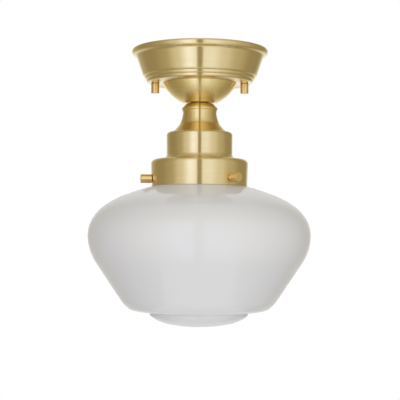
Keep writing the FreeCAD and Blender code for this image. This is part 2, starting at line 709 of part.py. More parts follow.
def bulb_glass():
    """The bulb's pear-shaped envelope, seated on the edge of its cap."""
    neck_r = THREAD_R - BULB_NECK_IN
    straight_low = cap_bottom - BULB_NECK_STRAIGHT
    shoulder_r = neck_r + BULB_SHOULDER_OUT
    shoulder = straight_low - BULB_SHOULDER_FALL
    bulb_r = shoulder_r + BULB_WIDEST_OUT
    widest = shoulder - BULB_WIDEST_FALL
    pear = Outline(0, widest - bulb_r).bulge(bulb_r, widest, -bulb_r * (1 - math.cos(math.pi / 4)))
    pear.smooth(shoulder_r, shoulder).smooth(neck_r, straight_low).line(neck_r, cap_bottom)
    return pear.shell(BULB_WALL)


# ---- leads ----------------------------------------------------------------------------------------
def power_lead(side):
    """A lead from its terminal up the tube and out along Y to its connector in the canopy."""
    level = tube_top + LEAD_RISE
    return bent_lead(
        [
            (0, side * LEAD_TERMINAL_Y, terminal_top),
            (0, side * LEAD_TERMINAL_Y, terminal_top + LEAD_TERMINAL_RISE),
            (0, side * LEAD_IN_TUBE_Y, tube_bottom - LEAD_R),
            (0, side * LEAD_IN_TUBE_Y, level),
            (0, side * LEAD_REACH, level),
        ],
        LEAD_BEND_R,
    )


def earth_lug_place():
    """The middle of the earth lug, in plan."""
    across = math.radians(EARTH_LEAD_ANGLE)
    return EARTH_LUG_RADIUS * math.cos(across), EARTH_LUG_RADIUS * math.sin(across)


def earth_lug():
    """The lug on the canopy's floor that the earth lead comes from."""
    x, y = earth_lug_place()
    return cylinder(EARTH_LUG_R, canopy_inside, canopy_inside + EARTH_LUG_THICKNESS, x, y)


def earth_lead():
    """The lead from the lug up and out to its connector."""
    x, y = earth_lug_place()
    level = tube_top + LEAD_RISE
    across = math.radians(EARTH_LEAD_ANGLE)
    end = (EARTH_LEAD_REACH * math.cos(across), EARTH_LEAD_REACH * math.sin(across), level)
    return bent_lead([(x, y, canopy_inside + EARTH_LUG_THICKNESS), (x, y, level), end], LEAD_BEND_R)


def wire_connector(angle, reach):
    """A twist-on connector at the end of a lead, narrower towards its closed end."""
    cone = Part.makeCone(
        CONNECTOR_MOUTH_R,
        CONNECTOR_END_R,
        CONNECTOR_LENGTH,
        FreeCAD.Vector(reach, 0, tube_top + LEAD_RISE),
        FreeCAD.Vector(1, 0, 0),
    )
    return turn_to(cone, angle)


def wire_connectors():
    """The three connectors."""
    cones = [wire_connector(angle, LEAD_REACH) for angle in (90, -90)]
    cones.append(wire_connector(EARTH_LEAD_ANGLE, EARTH_LEAD_REACH))
    return pair(cones)


# ---- glass shade ----------------------------------------------------------------------------------
def glass_shade():
    """The blown opal shade: lipped neck, round shoulder, straight sides, crease and shallow cap."""
    lip_r = glass_neck_r + GLASS_LIP
    lip_bottom = lip_top - GLASS_LIP_HEIGHT
    blown = Outline(lip_r, lip_top).line(lip_r, lip_bottom).line(glass_neck_r, lip_bottom - GLASS_LIP)
    seat = collar_bottom - GLASS_SEAT_DROP
    blown.line(glass_neck_r, seat + GLASS_NECK_ROUND_HEIGHT)
    blown.smooth(glass_neck_r + GLASS_NECK_ROUND, seat)
    for out, fall in (
        (SHOULDER_OUT, SHOULDER_FALL),
        (UPPER_BELLY_OUT, UPPER_BELLY_FALL),
        (LOWER_BELLY_OUT, LOWER_BELLY_FALL),
        (BELLY_OUT, BELLY_FALL),
        (-HIP_IN, HIP_FALL),
        (-SIDE_TOP_IN, SIDE_TOP_FALL),
    ):
        blown.smooth(blown.end.x + out, blown.end.z - fall)
    blown.line(blown.end.x - SIDE_IN, blown.end.z - SIDE_FALL)
    for inward, fall in ((HEEL_IN, HEEL_FALL), (FOOT_IN, FOOT_FALL), (CREASE_IN, CREASE_FALL)):
        blown.smooth(blown.end.x - inward, blown.end.z - fall)
    blown.line(blown.end.x - CAP_START_IN, blown.end.z - CAP_START_FALL)
    blown.smooth(blown.end.x - CAP_IN, blown.end.z - CAP_FALL).pole(blown.end.z - CAP_POLE_FALL)
    return blown.shell(-GLASS_WALL)


# ---- nodes ----------------------------------------------------------------------------------------
def nodes():
    """Every node's name and shape."""
    made = {
        "box_strap": box_strap(),
        "swivel_eyelet": swivel_eyelet(),
        "stud_strap": stud_strap(),
        "canopy_studs": pair(stud(x) for x in (-stud_x, stud_x)),
        "stud_lock_nuts": pair(stud_lock_nut(x) for x in (-stud_x, stud_x)),
        "earth_screw": earth_screw(),
        "canopy": canopy(),
        "cap_nut_left": cap_nut(-stud_x),
        "cap_nut_right": cap_nut(stud_x),
        "bowl": bowl(),
        "neck": neck(),
        "shade_holder": shade_holder(),
        "thread_inserts": pair(thread_insert(angle) for angle in THUMB_ANGLES.values()),
        "threaded_tube": threaded_tube(),
        "canopy_tube_washer": canopy_tube_washer(),
        "canopy_tube_nut": canopy_tube_nut(),
        "holder_tube_washer": holder_tube_washer(),
        "holder_tube_nut": holder_tube_nut(),
        "socket_bracket": socket_bracket(),
        "bracket_screws": pair(bracket_screw(side) for side in (-1, 1)),
        "porcelain_body": porcelain_body(),
        "screw_shell": screw_shell(),
        "centre_contact": centre_contact(),
        "terminal_plates": pair(terminal_plate(side) for side in (-1, 1)),
        "terminal_screws": pair(terminal_screw(side) for side in (-1, 1)),
        "black_lead": power_lead(1),
        "white_lead": power_lead(-1),
        "earth_lug": earth_lug(),
        "earth_lead": earth_lead(),
        "wire_connectors": wire_connectors(),
        "bulb_tip": bulb_tip(),
        "bulb_cap": bulb_cap(),
        "bulb_glass": bulb_glass(),
        "glass_shade": glass_shade(),
    }
    for place, angle in THUMB_ANGLES.items():
        made[f"thumbscrew_{place}"] = thumbscrew(angle)
    return made


os.makedirs("parts", exist_ok=True)
for name, shape in nodes().items():
    shape.exportStep(f"parts/{name}.step")
    solids = len(shape.Solids)
    print(f"{name}: {solids} solid(s), {shape.Volume:.0f} mm3, valid {shape.isValid()}")
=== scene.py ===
"""Dresses the semi flush ceiling light: turned brass, opal glass and the hardware inside.

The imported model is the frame. Every turned piece is carried round the Z axis from an outline in radius
and height, in millimetres, and takes the place of its CAD node. The rest of the CAD nodes keep their shape
and get a finish of their own. Lengths are metres in Blender, and the fields below are millimetres unless
they say otherwise.
"""

from __future__ import annotations

import json
import logging
import math
from dataclasses import dataclass, field
from enum import Enum

import bmesh
import bpy
import numpy as np
from mathutils import Matrix, Quaternion, Vector

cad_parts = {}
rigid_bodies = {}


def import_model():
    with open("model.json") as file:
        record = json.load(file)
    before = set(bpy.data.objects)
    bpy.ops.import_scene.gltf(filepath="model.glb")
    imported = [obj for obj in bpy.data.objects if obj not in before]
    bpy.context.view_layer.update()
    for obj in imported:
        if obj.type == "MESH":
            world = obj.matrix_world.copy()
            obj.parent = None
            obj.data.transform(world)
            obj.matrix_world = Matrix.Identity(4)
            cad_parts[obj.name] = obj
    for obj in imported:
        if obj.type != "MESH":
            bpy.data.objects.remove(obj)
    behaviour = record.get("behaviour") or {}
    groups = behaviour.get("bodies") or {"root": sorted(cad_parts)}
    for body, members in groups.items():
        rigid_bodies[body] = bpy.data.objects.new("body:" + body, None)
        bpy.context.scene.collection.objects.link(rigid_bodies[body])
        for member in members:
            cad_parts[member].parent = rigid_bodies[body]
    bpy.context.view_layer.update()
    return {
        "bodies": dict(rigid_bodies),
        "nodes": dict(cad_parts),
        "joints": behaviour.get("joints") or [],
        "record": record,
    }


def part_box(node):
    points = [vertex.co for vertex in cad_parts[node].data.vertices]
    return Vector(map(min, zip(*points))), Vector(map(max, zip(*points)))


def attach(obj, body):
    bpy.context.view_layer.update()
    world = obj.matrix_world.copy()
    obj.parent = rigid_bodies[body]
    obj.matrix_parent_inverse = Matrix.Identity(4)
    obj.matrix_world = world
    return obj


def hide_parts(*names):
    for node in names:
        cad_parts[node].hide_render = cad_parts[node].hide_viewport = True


LOG = logging.getLogger("ceiling_light")
MM = 0.001
TURNED_UV = "Turned"
SAME_MM = 1e-9          # two places closer than this are one
MERGE_M = 1e-7          # points of a mesh closer than this are merged
SHARP_DEG = 38.0        # an edge that turns more than this is shaded sharp
LONGEST_RUN = 4.0       # the longest face along a profile


# ---- outlines and turned surfaces -----------------------------------------------------------------
class Outline:
    """A chain of straight runs and arcs in the half plane of radius and height, sampled as points."""

    STEP_DEG = 3.0
    EASE_POINTS = 6
    EASE_SHARE = 0.45       # of the way to the next corner, at most

    def __init__(self, radius: float, height: float) -> None:
        """Starts the chain at a point.

        Args:
            radius: distance from the axis, in millimetres.
            height: height, in millimetres.
        """
        self.points: list[np.ndarray] = [np.array([[radius, height]], float)]
        self.heading = 0.0

    @property
    def end(self) -> np.ndarray:
        """The last point."""
        return self.points[-1][-1]

    def line(self, radius: float, height: float) -> "Outline":
        """Goes straight to a point."""
        goal = np.array([radius, height], float)
        run = goal - self.end
        self.heading = math.atan2(run[1], run[0])
        self.points.append(goal[None, :])
        return self

    def bulge(self, radius: float, height: float, rise: float) -> "Outline":
        """Goes to a point on an arc whose middle stands to the left of the chord by the rise.

        The arc is C + R (cos t, sin t), where the chord's length c and the rise s give
        R = (c^2 / 4 + s^2) / 2s.
        """
        start = self.end
        goal = np.array([radius, height], float)
        chord = goal - start
        length = float(np.hypot(*chord))
        left = np.array([-chord[1], chord[0]]) / length
        arc_r = (length**2 / 4 + rise**2) / (2 * rise)
        centre = (start + goal) / 2 + left * (rise - arc_r)
        first = math.atan2(*(start - centre)[::-1])
        sweep = -4 * math.atan(2 * rise / length)
        count = max(2, int(abs(math.degrees(sweep)) / self.STEP_DEG) + 1)
        angles = first + sweep * np.arange(1, count + 1) / count
        arc = centre + abs(arc_r) * np.stack([np.cos(angles), np.sin(angles)], 1)
        arc[-1] = goal
        self.heading = math.atan2(chord[1], chord[0]) + sweep / 2
        self.points.append(arc)
        return self

    def smooth(self, radius: float, height: float) -> "Outline":
        """Goes to a point on the one arc that leaves in the direction of the last piece."""
        run = np.array([radius, height], float) - self.end
        turn = math.atan2(run[1], run[0]) - self.heading
        turn = math.atan2(math.sin(turn), math.cos(turn))
        rise = -float(np.hypot(*run)) / 2 * math.tan(turn / 2)
        return self.bulge(radius, height, rise)

    def pole(self, height: float) -> "Outline":
        """Goes to the axis on an arc that is level there."""
        fall = float(self.end[1] - height)
        sphere_r = (self.end[0] ** 2 + fall**2) / (2 * abs(fall))
        half_chord = math.hypot(float(self.end[0]), fall) / 2
        rise = sphere_r - math.sqrt(sphere_r**2 - half_chord**2)
        return self.bulge(0.0, height, math.copysign(rise, fall))

    def eased(self, reach: float, closed: bool, corner_deg: float = 16.0) -> np.ndarray:
        """The chain as one array, with each corner rounded.

        Within `reach` of a corner B the chain gives way to (1-t)^2 A + 2t(1-t) B + t^2 C, with A and C on
        the chain at that distance, or at under half the way to the next corner.

        Args:
            reach: how far from a corner its rounding starts, in millimetres.
            closed: whether the last point joins the first.
            corner_deg: the least turn that counts as a corner.

        Returns:
            The points, as rows of radius and height.
        """
        chain = np.concatenate(self.points)
        if closed and np.allclose(chain[0], chain[-1]):
            chain = chain[:-1]
        before = np.roll(chain, 1, 0)
        after = np.roll(chain, -1, 0)
        turn = np.abs(angle_between(chain - before, after - chain))
        is_corner = turn > math.radians(corner_deg)
        on_axis = chain[:, 0] < SAME_MM
        is_corner &= ~on_axis
        if not closed:
            is_corner[[0, -1]] = False
        stretch = np.concatenate([chain, chain[:1]]) if closed else chain
        station = np.concatenate([[0.0], np.cumsum(np.hypot(*np.diff(stretch, axis=0).T))])
        total = station[-1]
        corners = np.flatnonzero(is_corner)
        if len(corners) == 0:
            return chain
        places = station[corners]
        keep = np.ones(len(chain), bool)
        pieces = []
        for index, place in zip(corners, places):
            gaps = np.abs(places - place)
            if closed:
                gaps = np.minimum(gaps, total - gaps)
            gaps[gaps < SAME_MM] = total
            room = min(reach, self.EASE_SHARE * gaps.min())
            offsets = station[: len(chain)] - place
            if closed:
                offsets = (offsets + total / 2) % total - total / 2
            keep &= np.abs(offsets) > room * 0.999
            ends = np.array([place - room, place + room])
            ends = ends % total if closed else np.clip(ends, 0, total)
            near = np.stack([np.interp(ends, station, stretch[:, axis]) for axis in (0, 1)], 1)
            t = np.linspace(0, 1, self.EASE_POINTS)[:, None]
            curve = (1 - t) ** 2 * near[0] + 2 * t * (1 - t) * chain[index] + t**2 * near[1]
            pieces.append((place, curve))
        kept = [(station[i], chain[i][None, :]) for i in np.flatnonzero(keep)]
        ordered = sorted(kept + pieces, key=lambda piece: piece[0])
        return np.concatenate([piece[1] for piece in ordered])


def angle_between(first: np.ndarray, second: np.ndarray) -> np.ndarray:
    """The signed turn from one row of vectors to another: atan2 of their cross and dot products."""
    cross = first[:, 0] * second[:, 1] - first[:, 1] * second[:, 0]
    dot = (first * second).sum(1)
    return np.arctan2(cross, dot)


def divided(profile: np.ndarray, closed: bool, longest: float) -> np.ndarray:
    """Adds points so that no run of a profile is longer than a length, each run split into equal parts."""
    stretch = np.concatenate([profile, profile[:1]]) if closed else profile
    runs = np.hypot(*np.diff(stretch, axis=0).T)
    counts = np.maximum(1, np.ceil(runs / longest).astype(int))
    starts = np.repeat(stretch[:-1], counts, 0)
    steps = np.repeat(np.diff(stretch, axis=0), counts, 0)
    index = np.arange(counts.sum()) - np.repeat(np.cumsum(counts) - counts, counts)
    share = (index / np.repeat(counts, counts))[:, None]
    points = starts + steps * share
    return points if closed else np.concatenate([points, stretch[-1:]])


def turned_object(
    name: str, profile: np.ndarray, closed: bool, sides: int, place: Matrix | None = None
) -> bpy.types.Object:
    """Carries a profile round the Z axis: P(u, v) = (r(u) cos v, r(u) sin v, z(u)).

    The UV map holds the length along the profile, in metres, and the share of the turn.

    Args:
        name: the object's name.
        profile: rows of radius and height, in millimetres.
        closed: whether the profile is a loop, so that the piece has a wall.
        sides: how many steps the turn has.
        place: a matrix that takes the turned piece from the Z axis to its place, in metres.

    Returns:
        The new object, at the origin, with its place in its mesh.
    """
    profile = divided(profile, closed, LONGEST_RUN)
    rows = len(profile)
    angle = 2 * np.pi * np.arange(sides) / sides
    radius = profile[:, 0, None] * MM
    height = np.broadcast_to(profile[:, 1, None] * MM, (rows, sides))
    points = np.stack([radius * np.cos(angle), radius * np.sin(angle), height], -1).reshape(-1, 3)
    last = rows if closed else rows - 1
    i, j = np.meshgrid(np.arange(last), np.arange(sides), indexing="ij")
    i_next, j_next = (i + 1) % rows, (j + 1) % sides
    row, next_row = i * sides, i_next * sides
    quads = np.stack([row + j, row + j_next, next_row + j_next, next_row + j], -1).reshape(-1, 4)
    stretch = np.concatenate([profile, profile[:1]])
    length = np.concatenate([[0.0], np.cumsum(np.hypot(*np.diff(stretch, axis=0).T))]) * MM
    u = np.stack([length[i], length[i], length[i + 1], length[i + 1]], -1).reshape(-1)
    v = np.stack([j, j + 1, j + 1, j], -1).reshape(-1) / sides
    area = np.sum(stretch[:-1, 0] * stretch[1:, 1] - stretch[1:, 0] * stretch[:-1, 1])
    uv = np.stack([u, v], -1)
    if area < 0:
        quads = quads[:, ::-1]
        uv = uv.reshape(-1, 4, 2)[:, ::-1].reshape(-1, 2)
    if place is not None:
        matrix = np.array(place)
        points = points @ matrix[:3, :3].T + matrix[:3, 3]
    return mesh_object(name, points, quads, uv)


def mesh_object(name: str, points: np.ndarray, quads: np.ndarray, uv: np.ndarray) -> bpy.types.Object:
    """Makes a mesh object from arrays, merges the points that meet at a pole, and marks its sharp edges."""
    mesh = bpy.data.meshes.new(name)
    mesh.from_pydata(points.tolist(), [], quads.tolist())
    layer = mesh.uv_layers.new(name=TURNED_UV)
    layer.data.foreach_set("uv", uv.astype(np.float32).ravel())
    work = bmesh.new()
    work.from_mesh(mesh)
    bmesh.ops.remove_doubles(work, verts=work.verts, dist=MERGE_M)
    work.to_mesh(mesh)
    work.free()
    mesh.shade_smooth()
    mesh.set_sharp_from_angle(angle=math.radians(SHARP_DEG))
    made = bpy.data.objects.new(name, mesh)
    bpy.context.scene.collection.objects.link(made)
    return made


def upright(x: float, y: float) -> Matrix:
    """A matrix that moves a turned piece to a place in plan, in millimetres."""
    return Matrix.Translation((x * MM, y * MM, 0.0))


def pointing_out(degrees: float, height: float) -> Matrix:
    """A matrix that lays a turned piece's axis along a radius, at an angle from +X and a height."""
    turn = Matrix.Rotation(math.radians(degrees), 4, "Z")
    lay = Matrix.Rotation(math.radians(90), 4, "Y")
    return Matrix.Translation((0.0, 0.0, height * MM)) @ turn @ lay


# ---- shader node helpers --------------------------------------------------------------------------
class Wiring:
    """Adds nodes to a tree and joins them."""

    def __init__(self, tree: bpy.types.NodeTree) -> None:
        """Keeps the tree."""
        self.tree = tree

    def add(self, kind: str, **settings: object) -> bpy.types.Node:
        """Adds a node and sets its properties."""
        node = self.tree.nodes.new(kind)
        for key, value in settings.items():
            setattr(node, key, value)
        return node

    def join(self, source: bpy.types.NodeSocket, target: bpy.types.NodeSocket) -> None:
        """Joins two sockets."""
        self.tree.links.new(source, target)

    def math(self, operation: str, first: object, second: object = None) -> bpy.types.NodeSocket:
        """A math node on one or two inputs, each a socket or a number.

        Returns:
            The node's output socket.
        """
        node = self.add("ShaderNodeMath", operation=operation)
        for socket, value in zip(node.inputs, (first, second)):
            if value is None:
                continue
            if isinstance(value, (int, float)):
                socket.default_value = value
            else:
                self.join(value, socket)
        return node.outputs[0]

    def ramp(self, factor: bpy.types.NodeSocket, stops: list[tuple[float, float]]) -> bpy.types.NodeSocket:
        """A grey ramp through stops of place and level.

        Returns:
            The ramp's colour socket.
        """
        node = self.add("ShaderNodeValToRGB")
        node.color_ramp.interpolation = "EASE"
        elements = node.color_ramp.elements
        while len(elements) < len(stops):
            elements.new(0.5)
        for element, (place, level) in zip(elements, stops):
            element.position = place
            element.color = (level, level, level, 1.0)
        self.join(factor, node.inputs[0])
        return node.outputs[0]


def new_group(
    name: str, inputs: dict[str, float], outputs: dict[str, str]
) -> tuple[bpy.types.NodeTree, Wiring]:
    """Starts a shader node group with named float inputs and named outputs."""
    group = bpy.data.node_groups.new(name, "ShaderNodeTree")
    for label, value in inputs.items():
        socket = group.interface.new_socket(label, in_out="INPUT", socket_type="NodeSocketFloat")
        socket.default_value = value
    for label, kind in outputs.items():
        group.interface.new_socket(label, in_out="OUTPUT", socket_type=kind)
    return group, Wiring(group)


class SharedEffects:
    """The effects that several finishes use, each built once."""

    TURN_NOISE_R = 1.6                  # how far from its middle the noise is read, round a turn
    LINE_SCALES = (1.0, 0.22)           # fine lines and broad ones
    DUST_SCALE = 900.0
    SMUDGE_CONTRAST = 1.6
    DUST_BASE, DUST_SPAN = 0.6, 0.8     # what dust does to a smudge

    def __init__(self) -> None:
        """Builds the groups."""
        self.turning_marks = self._turning_marks()
        self.handling = self._handling()

    @staticmethod
    def _turning_marks() -> bpy.types.NodeTree:
        """Fine broken lines that run round a turned piece: noise stretched along the turn, at two scales.

        Inputs are the lines per millimetre, their depth in micrometres and their skew, which is how far a
        line swings the surface sideways; outputs are the line mask and the normal. The normal is that of
        N + skew (noise - 1/2) (T x N) under the bump, with T along the profile.
        """
        group, wire = new_group(
            "turning_marks",
            {"Lines per mm": 3.0, "Depth um": 1.0, "Skew": 0.01},
            {"Lines": "NodeSocketFloat", "Normal": "NodeSocketVector"},
        )
        source = wire.add("NodeGroupInput")
        target = wire.add("NodeGroupOutput")
        uv = wire.add("ShaderNodeUVMap", uv_map=TURNED_UV)
        split = wire.add("ShaderNodeSeparateXYZ")
        wire.join(uv.outputs[0], split.inputs[0])
        along_mm = wire.math("MULTIPLY", split.outputs[0], 1000.0)
        along = wire.math("MULTIPLY", along_mm, source.outputs["Lines per mm"])
        around = wire.math("MULTIPLY", split.outputs[1], 2 * math.pi)
        cosine = wire.math("MULTIPLY", wire.math("COSINE", around), SharedEffects.TURN_NOISE_R)
        sine = wire.math("MULTIPLY", wire.math("SINE", around), SharedEffects.TURN_NOISE_R)
        scales = []
        for share in SharedEffects.LINE_SCALES:
            joined = wire.add("ShaderNodeCombineXYZ")
            wire.join(wire.math("MULTIPLY", along, share), joined.inputs[0])
            wire.join(sine, joined.inputs[1])
            wire.join(cosine, joined.inputs[2])
            noise = wire.add("ShaderNodeTexNoise")
            noise.inputs["Scale"].default_value = 1.0
            noise.inputs["Detail"].default_value = 2.0
            wire.join(joined.outputs[0], noise.inputs["Vector"])
            scales.append(noise.outputs[0])
        lines = wire.math("MULTIPLY", wire.math("ADD", *scales), 0.5)
        tangent = wire.add("ShaderNodeTangent", direction_type="UV_MAP", uv_map=TURNED_UV)
        surface = wire.add("ShaderNodeNewGeometry")
        sideways = wire.add("ShaderNodeVectorMath", operation="CROSS_PRODUCT")
        wire.join(tangent.outputs[0], sideways.inputs[0])
        wire.join(surface.outputs["Normal"], sideways.inputs[1])
        swing = wire.add("ShaderNodeVectorMath", operation="SCALE")
        wire.join(sideways.outputs[0], swing.inputs[0])
        centred = wire.math("SUBTRACT", lines, 0.5)
        wire.join(wire.math("MULTIPLY", centred, source.outputs["Skew"]), swing.inputs["Scale"])
        swung = wire.add("ShaderNodeVectorMath", operation="ADD")
        wire.join(surface.outputs["Normal"], swung.inputs[0])
        wire.join(swing.outputs[0], swung.inputs[1])
        unit = wire.add("ShaderNodeVectorMath", operation="NORMALIZE")
        wire.join(swung.outputs[0], unit.inputs[0])
        bump = wire.add("ShaderNodeBump")
        bump.inputs["Strength"].default_value = 1.0
        wire.join(wire.math("MULTIPLY", source.outputs["Depth um"], 1e-6), bump.inputs["Distance"])
        wire.join(lines, bump.inputs["Height"])
        wire.join(unit.outputs[0], bump.inputs["Normal"])
        wire.join(lines, target.inputs["Lines"])
        wire.join(bump.outputs[0], target.inputs["Normal"])
        return group

    @staticmethod
    def _handling() -> bpy.types.NodeTree:
        """Broad faint smudges and fine dust, from noise on Object coordinates.

        Inputs are the smudge size in millimetres and the amount; the output is a mask from 0 to 1.
        """
        group, wire = new_group("handling", {"Size mm": 30.0, "Amount": 0.5}, {"Mask": "NodeSocketFloat"})
        source = wire.add("NodeGroupInput")
        target = wire.add("NodeGroupOutput")
        place = wire.add("ShaderNodeTexCoord")
        broad = wire.add("ShaderNodeTexNoise")
        wire.join(place.outputs["Object"], broad.inputs["Vector"])
        wire.join(wire.math("DIVIDE", 1000.0, source.outputs["Size mm"]), broad.inputs["Scale"])
        broad.inputs["Detail"].default_value = 4.0
        fine = wire.add("ShaderNodeTexNoise")
        wire.join(place.outputs["Object"], fine.inputs["Vector"])
        fine.inputs["Scale"].default_value = SharedEffects.DUST_SCALE
        raised = wire.math("POWER", broad.outputs[0], SharedEffects.SMUDGE_CONTRAST)
        dust = wire.math("MULTIPLY", fine.outputs[0], SharedEffects.DUST_SPAN)
        mixed = wire.math("MULTIPLY", raised, wire.math("ADD", SharedEffects.DUST_BASE, dust))
        wire.join(wire.math("MULTIPLY", mixed, source.outputs["Amount"]), target.inputs["Mask"])
        return group


# ---- finishes -------------------------------------------------------------------------------------
@dataclass(frozen=True)
class Finish:
    """What every finish has: a name, a colour and a roughness.

    Attributes:
        name: the material's name.
        colour: linear base colour.
        roughness: the roughness where the surface is clean.
        smudge: how much the handling mask adds to the roughness.
        tint: how much darker the colour gets under the handling mask.
        smudge_size_mm: how large a smudge is.
        slot: the record's material slot, where it isn't the finish's own name; not used.
    """

    name: str
    colour: tuple[float, float, float]
    roughness: float
    smudge: float = 0.06
    tint: float = 0.06
    smudge_size_mm: float = 30.0
    slot: str = ""

    def start(
        self, effects: SharedEffects
    ) -> tuple[bpy.types.Material, Wiring, bpy.types.Node, bpy.types.NodeSocket]:
        """Makes the material with a Principled BSDF whose colour and roughness vary with handling.

        Returns:
            The material, its wiring, the shader node and the roughness socket that feeds it.
        """
        material = bpy.data.materials.new(self.name)
        material.use_nodes = True
        wire = Wiring(material.node_tree)
        shader = material.node_tree.nodes["Principled BSDF"]
        handling = wire.add("ShaderNodeGroup", node_tree=effects.handling)
        handling.inputs["Size mm"].default_value = self.smudge_size_mm
        handling.inputs["Amount"].default_value = 1.0
        rough = wire.math("MULTIPLY_ADD", handling.outputs[0], self.smudge)
        rough.node.inputs[2].default_value = self.roughness
        wire.join(rough, shader.inputs["Roughness"])
        mix = wire.add("ShaderNodeMix", data_type="RGBA")
        mix.inputs["A"].default_value = (*self.colour, 1.0)
        mix.inputs["B"].default_value = (*(c * (1 - self.tint) for c in self.colour), 1.0)
        wire.join(handling.outputs[0], mix.inputs["Factor"])
        wire.join(mix.outputs["Result"], shader.inputs["Base Color"])
        return material, wire, shader, rough

    def make(self, effects: SharedEffects) -> bpy.types.Material:
        """Makes the plain form of the finish."""
        return self.start(effects)[0]


@dataclass(frozen=True)
class TurnedMetal(Finish):
    """Metal brushed or polished on a lathe, with lines round it and a highlight that spreads across them.

    Attributes:
        anisotropy: how far the highlight spreads along the profile.
        lines_per_mm: how fine the turning lines are.
        line_depth: their depth in micrometres.
        line_skew: how far they swing the surface sideways.
        line_tone: how much darker the metal is in a line.
        line_roughness: how much rougher it is there.
    """

    anisotropy: float = 0.7
    lines_per_mm: float = 3.0
    line_depth: float = 1.0
    line_skew: float = 0.02
    line_tone: float = 0.25
    line_roughness: float = 0.06

    def make(self, effects: SharedEffects) -> bpy.types.Material:
        """Makes the metal."""
        material, wire, shader, rough = self.start(effects)
        shader.inputs["Metallic"].default_value = 1.0
        shader.inputs["Anisotropic"].default_value = self.anisotropy
        tangent = wire.add("ShaderNodeTangent", direction_type="UV_MAP", uv_map=TURNED_UV)
        wire.join(tangent.outputs[0], shader.inputs["Tangent"])
        marks = wire.add("ShaderNodeGroup", node_tree=effects.turning_marks)
        marks.inputs["Lines per mm"].default_value = self.lines_per_mm
        marks.inputs["Depth um"].default_value = self.line_depth
        marks.inputs["Skew"].default_value = self.line_skew
        wire.join(marks.outputs["Normal"], shader.inputs["Normal"])
        centred = wire.math("SUBTRACT", marks.outputs["Lines"], 0.5)
        lined = wire.math("MULTIPLY_ADD", centred, self.line_roughness)
        wire.join(rough, lined.node.inputs[2])
        wire.join(lined, shader.inputs["Roughness"])
        tone = wire.math("MULTIPLY_ADD", centred, self.line_tone)
        tone.node.inputs[2].default_value = 1.0
        toned = wire.add("ShaderNodeMix", data_type="RGBA", blend_type="MULTIPLY")
        toned.inputs["Factor"].default_value = 1.0
        wire.join(shader.inputs["Base Color"].links[0].from_socket, toned.inputs["A"])
        wire.join(tone, toned.inputs["B"])
        wire.join(toned.outputs["Result"], shader.inputs["Base Color"])
        return material


@dataclass(frozen=True)
class PlainMetal(Finish):
    """Plated sheet, screws and contacts."""

    def make(self, effects: SharedEffects) -> bpy.types.Material:
        """Makes the metal."""
        material, _, shader, _ = self.start(effects)
        shader.inputs["Metallic"].default_value = 1.0
        return material


@dataclass(frozen=True)
class CoatedBody(Finish):
    """A pale or coloured body under a clear gloss: opal glass, porcelain, enamel or moulded plastic.

    Attributes:
        specular: the body's own specular level, under the gloss.
        coat: the gloss layer's weight.
        coat_roughness: its roughness.
        ripple: the height of the slow waves that blowing or moulding leaves, in micrometres.
        painted_rim_colour: painted shade at the rim, a cooler and darker colour blended in where the surface
            turns away, offsetting the warm light there, or None for none.
        rim_coat: the share of the gloss that is left there.
        painted_rim_span: where the painted rim shade starts and is full, from 0 face on to 1 side on.
        gloss_span: the same for the rim's gloss.
        ripple_scale: how many waves there are in a metre.
    """

    specular: float = 0.5
    coat: float = 1.0
    coat_roughness: float = 0.03
    ripple: float = 0.0
    painted_rim_colour: tuple[float, float, float] | None = None
    rim_coat: float = 1.0
    painted_rim_span: tuple[float, float] = (0.1, 0.75)
    gloss_span: tuple[float, float] = (0.6, 0.95)
    ripple_scale: float = 22.0

    def make(self, effects: SharedEffects) -> bpy.types.Material:
        """Makes the body."""
        material, wire, shader, _ = self.start(effects)
        shader.inputs["Specular IOR Level"].default_value = self.specular
        shader.inputs["Coat Weight"].default_value = self.coat
        shader.inputs["Coat Roughness"].default_value = self.coat_roughness
        if self.ripple > 0:
            place = wire.add("ShaderNodeTexCoord")
            noise = wire.add("ShaderNodeTexNoise")
            noise.inputs["Scale"].default_value = self.ripple_scale
            noise.inputs["Detail"].default_value = 0.0
            wire.join(place.outputs["Object"], noise.inputs["Vector"])
            bump = wire.add("ShaderNodeBump")
            bump.inputs["Strength"].default_value = 1.0
            bump.inputs["Distance"].default_value = self.ripple * 1e-6
            wire.join(noise.outputs[0], bump.inputs["Height"])
            wire.join(bump.outputs[0], shader.inputs["Normal"])
            wire.join(bump.outputs[0], shader.inputs["Coat Normal"])
        # Painted shade at the rim: where the surface turns away from the view, the base colour blends to a
        # cooler, darker colour that offsets the warm light on the sides.
        if self.painted_rim_colour is not None:
            turned = wire.add("ShaderNodeLayerWeight")
            share = wire.add("ShaderNodeMapRange")
            wire.join(turned.outputs["Facing"], share.inputs["Value"])
            share.inputs["From Min"].default_value, share.inputs["From Max"].default_value = self.painted_rim_span
            blend = wire.add("ShaderNodeMix", data_type="RGBA")
            wire.join(share.outputs[0], blend.inputs["Factor"])
            wire.join(shader.inputs["Base Color"].links[0].from_socket, blend.inputs["A"])
            blend.inputs["B"].default_value = (*self.painted_rim_colour, 1.0)
            wire.join(blend.outputs["Result"], shader.inputs["Base Color"])
            gloss = wire.add("ShaderNodeMapRange", interpolation_type="SMOOTHSTEP")
            wire.join(turned.outputs["Facing"], gloss.inputs["Value"])
            gloss.inputs["From Min"].default_value, gloss.inputs["From Max"].default_value = self.gloss_span
            gloss.inputs["To Min"].default_value = self.coat
            gloss.inputs["To Max"].default_value = self.coat * self.rim_coat
            wire.join(gloss.outputs[0], shader.inputs["Coat Weight"])
        return material


@dataclass(frozen=True)
class FrostedGlass(Finish):
    """The bulb's thin frosted envelope.

    Attributes:
        clear: the share of light that goes through.
        ior: its index of refraction.
    """

    clear: float = 0.6
    ior: float = 1.45

    def make(self, effects: SharedEffects) -> bpy.types.Material:
        """Makes the glass."""
        material, _, shader, _ = self.start(effects)
        shader.inputs["Transmission Weight"].default_value = self.clear
        shader.inputs["IOR"].default_value = self.ior
        return material


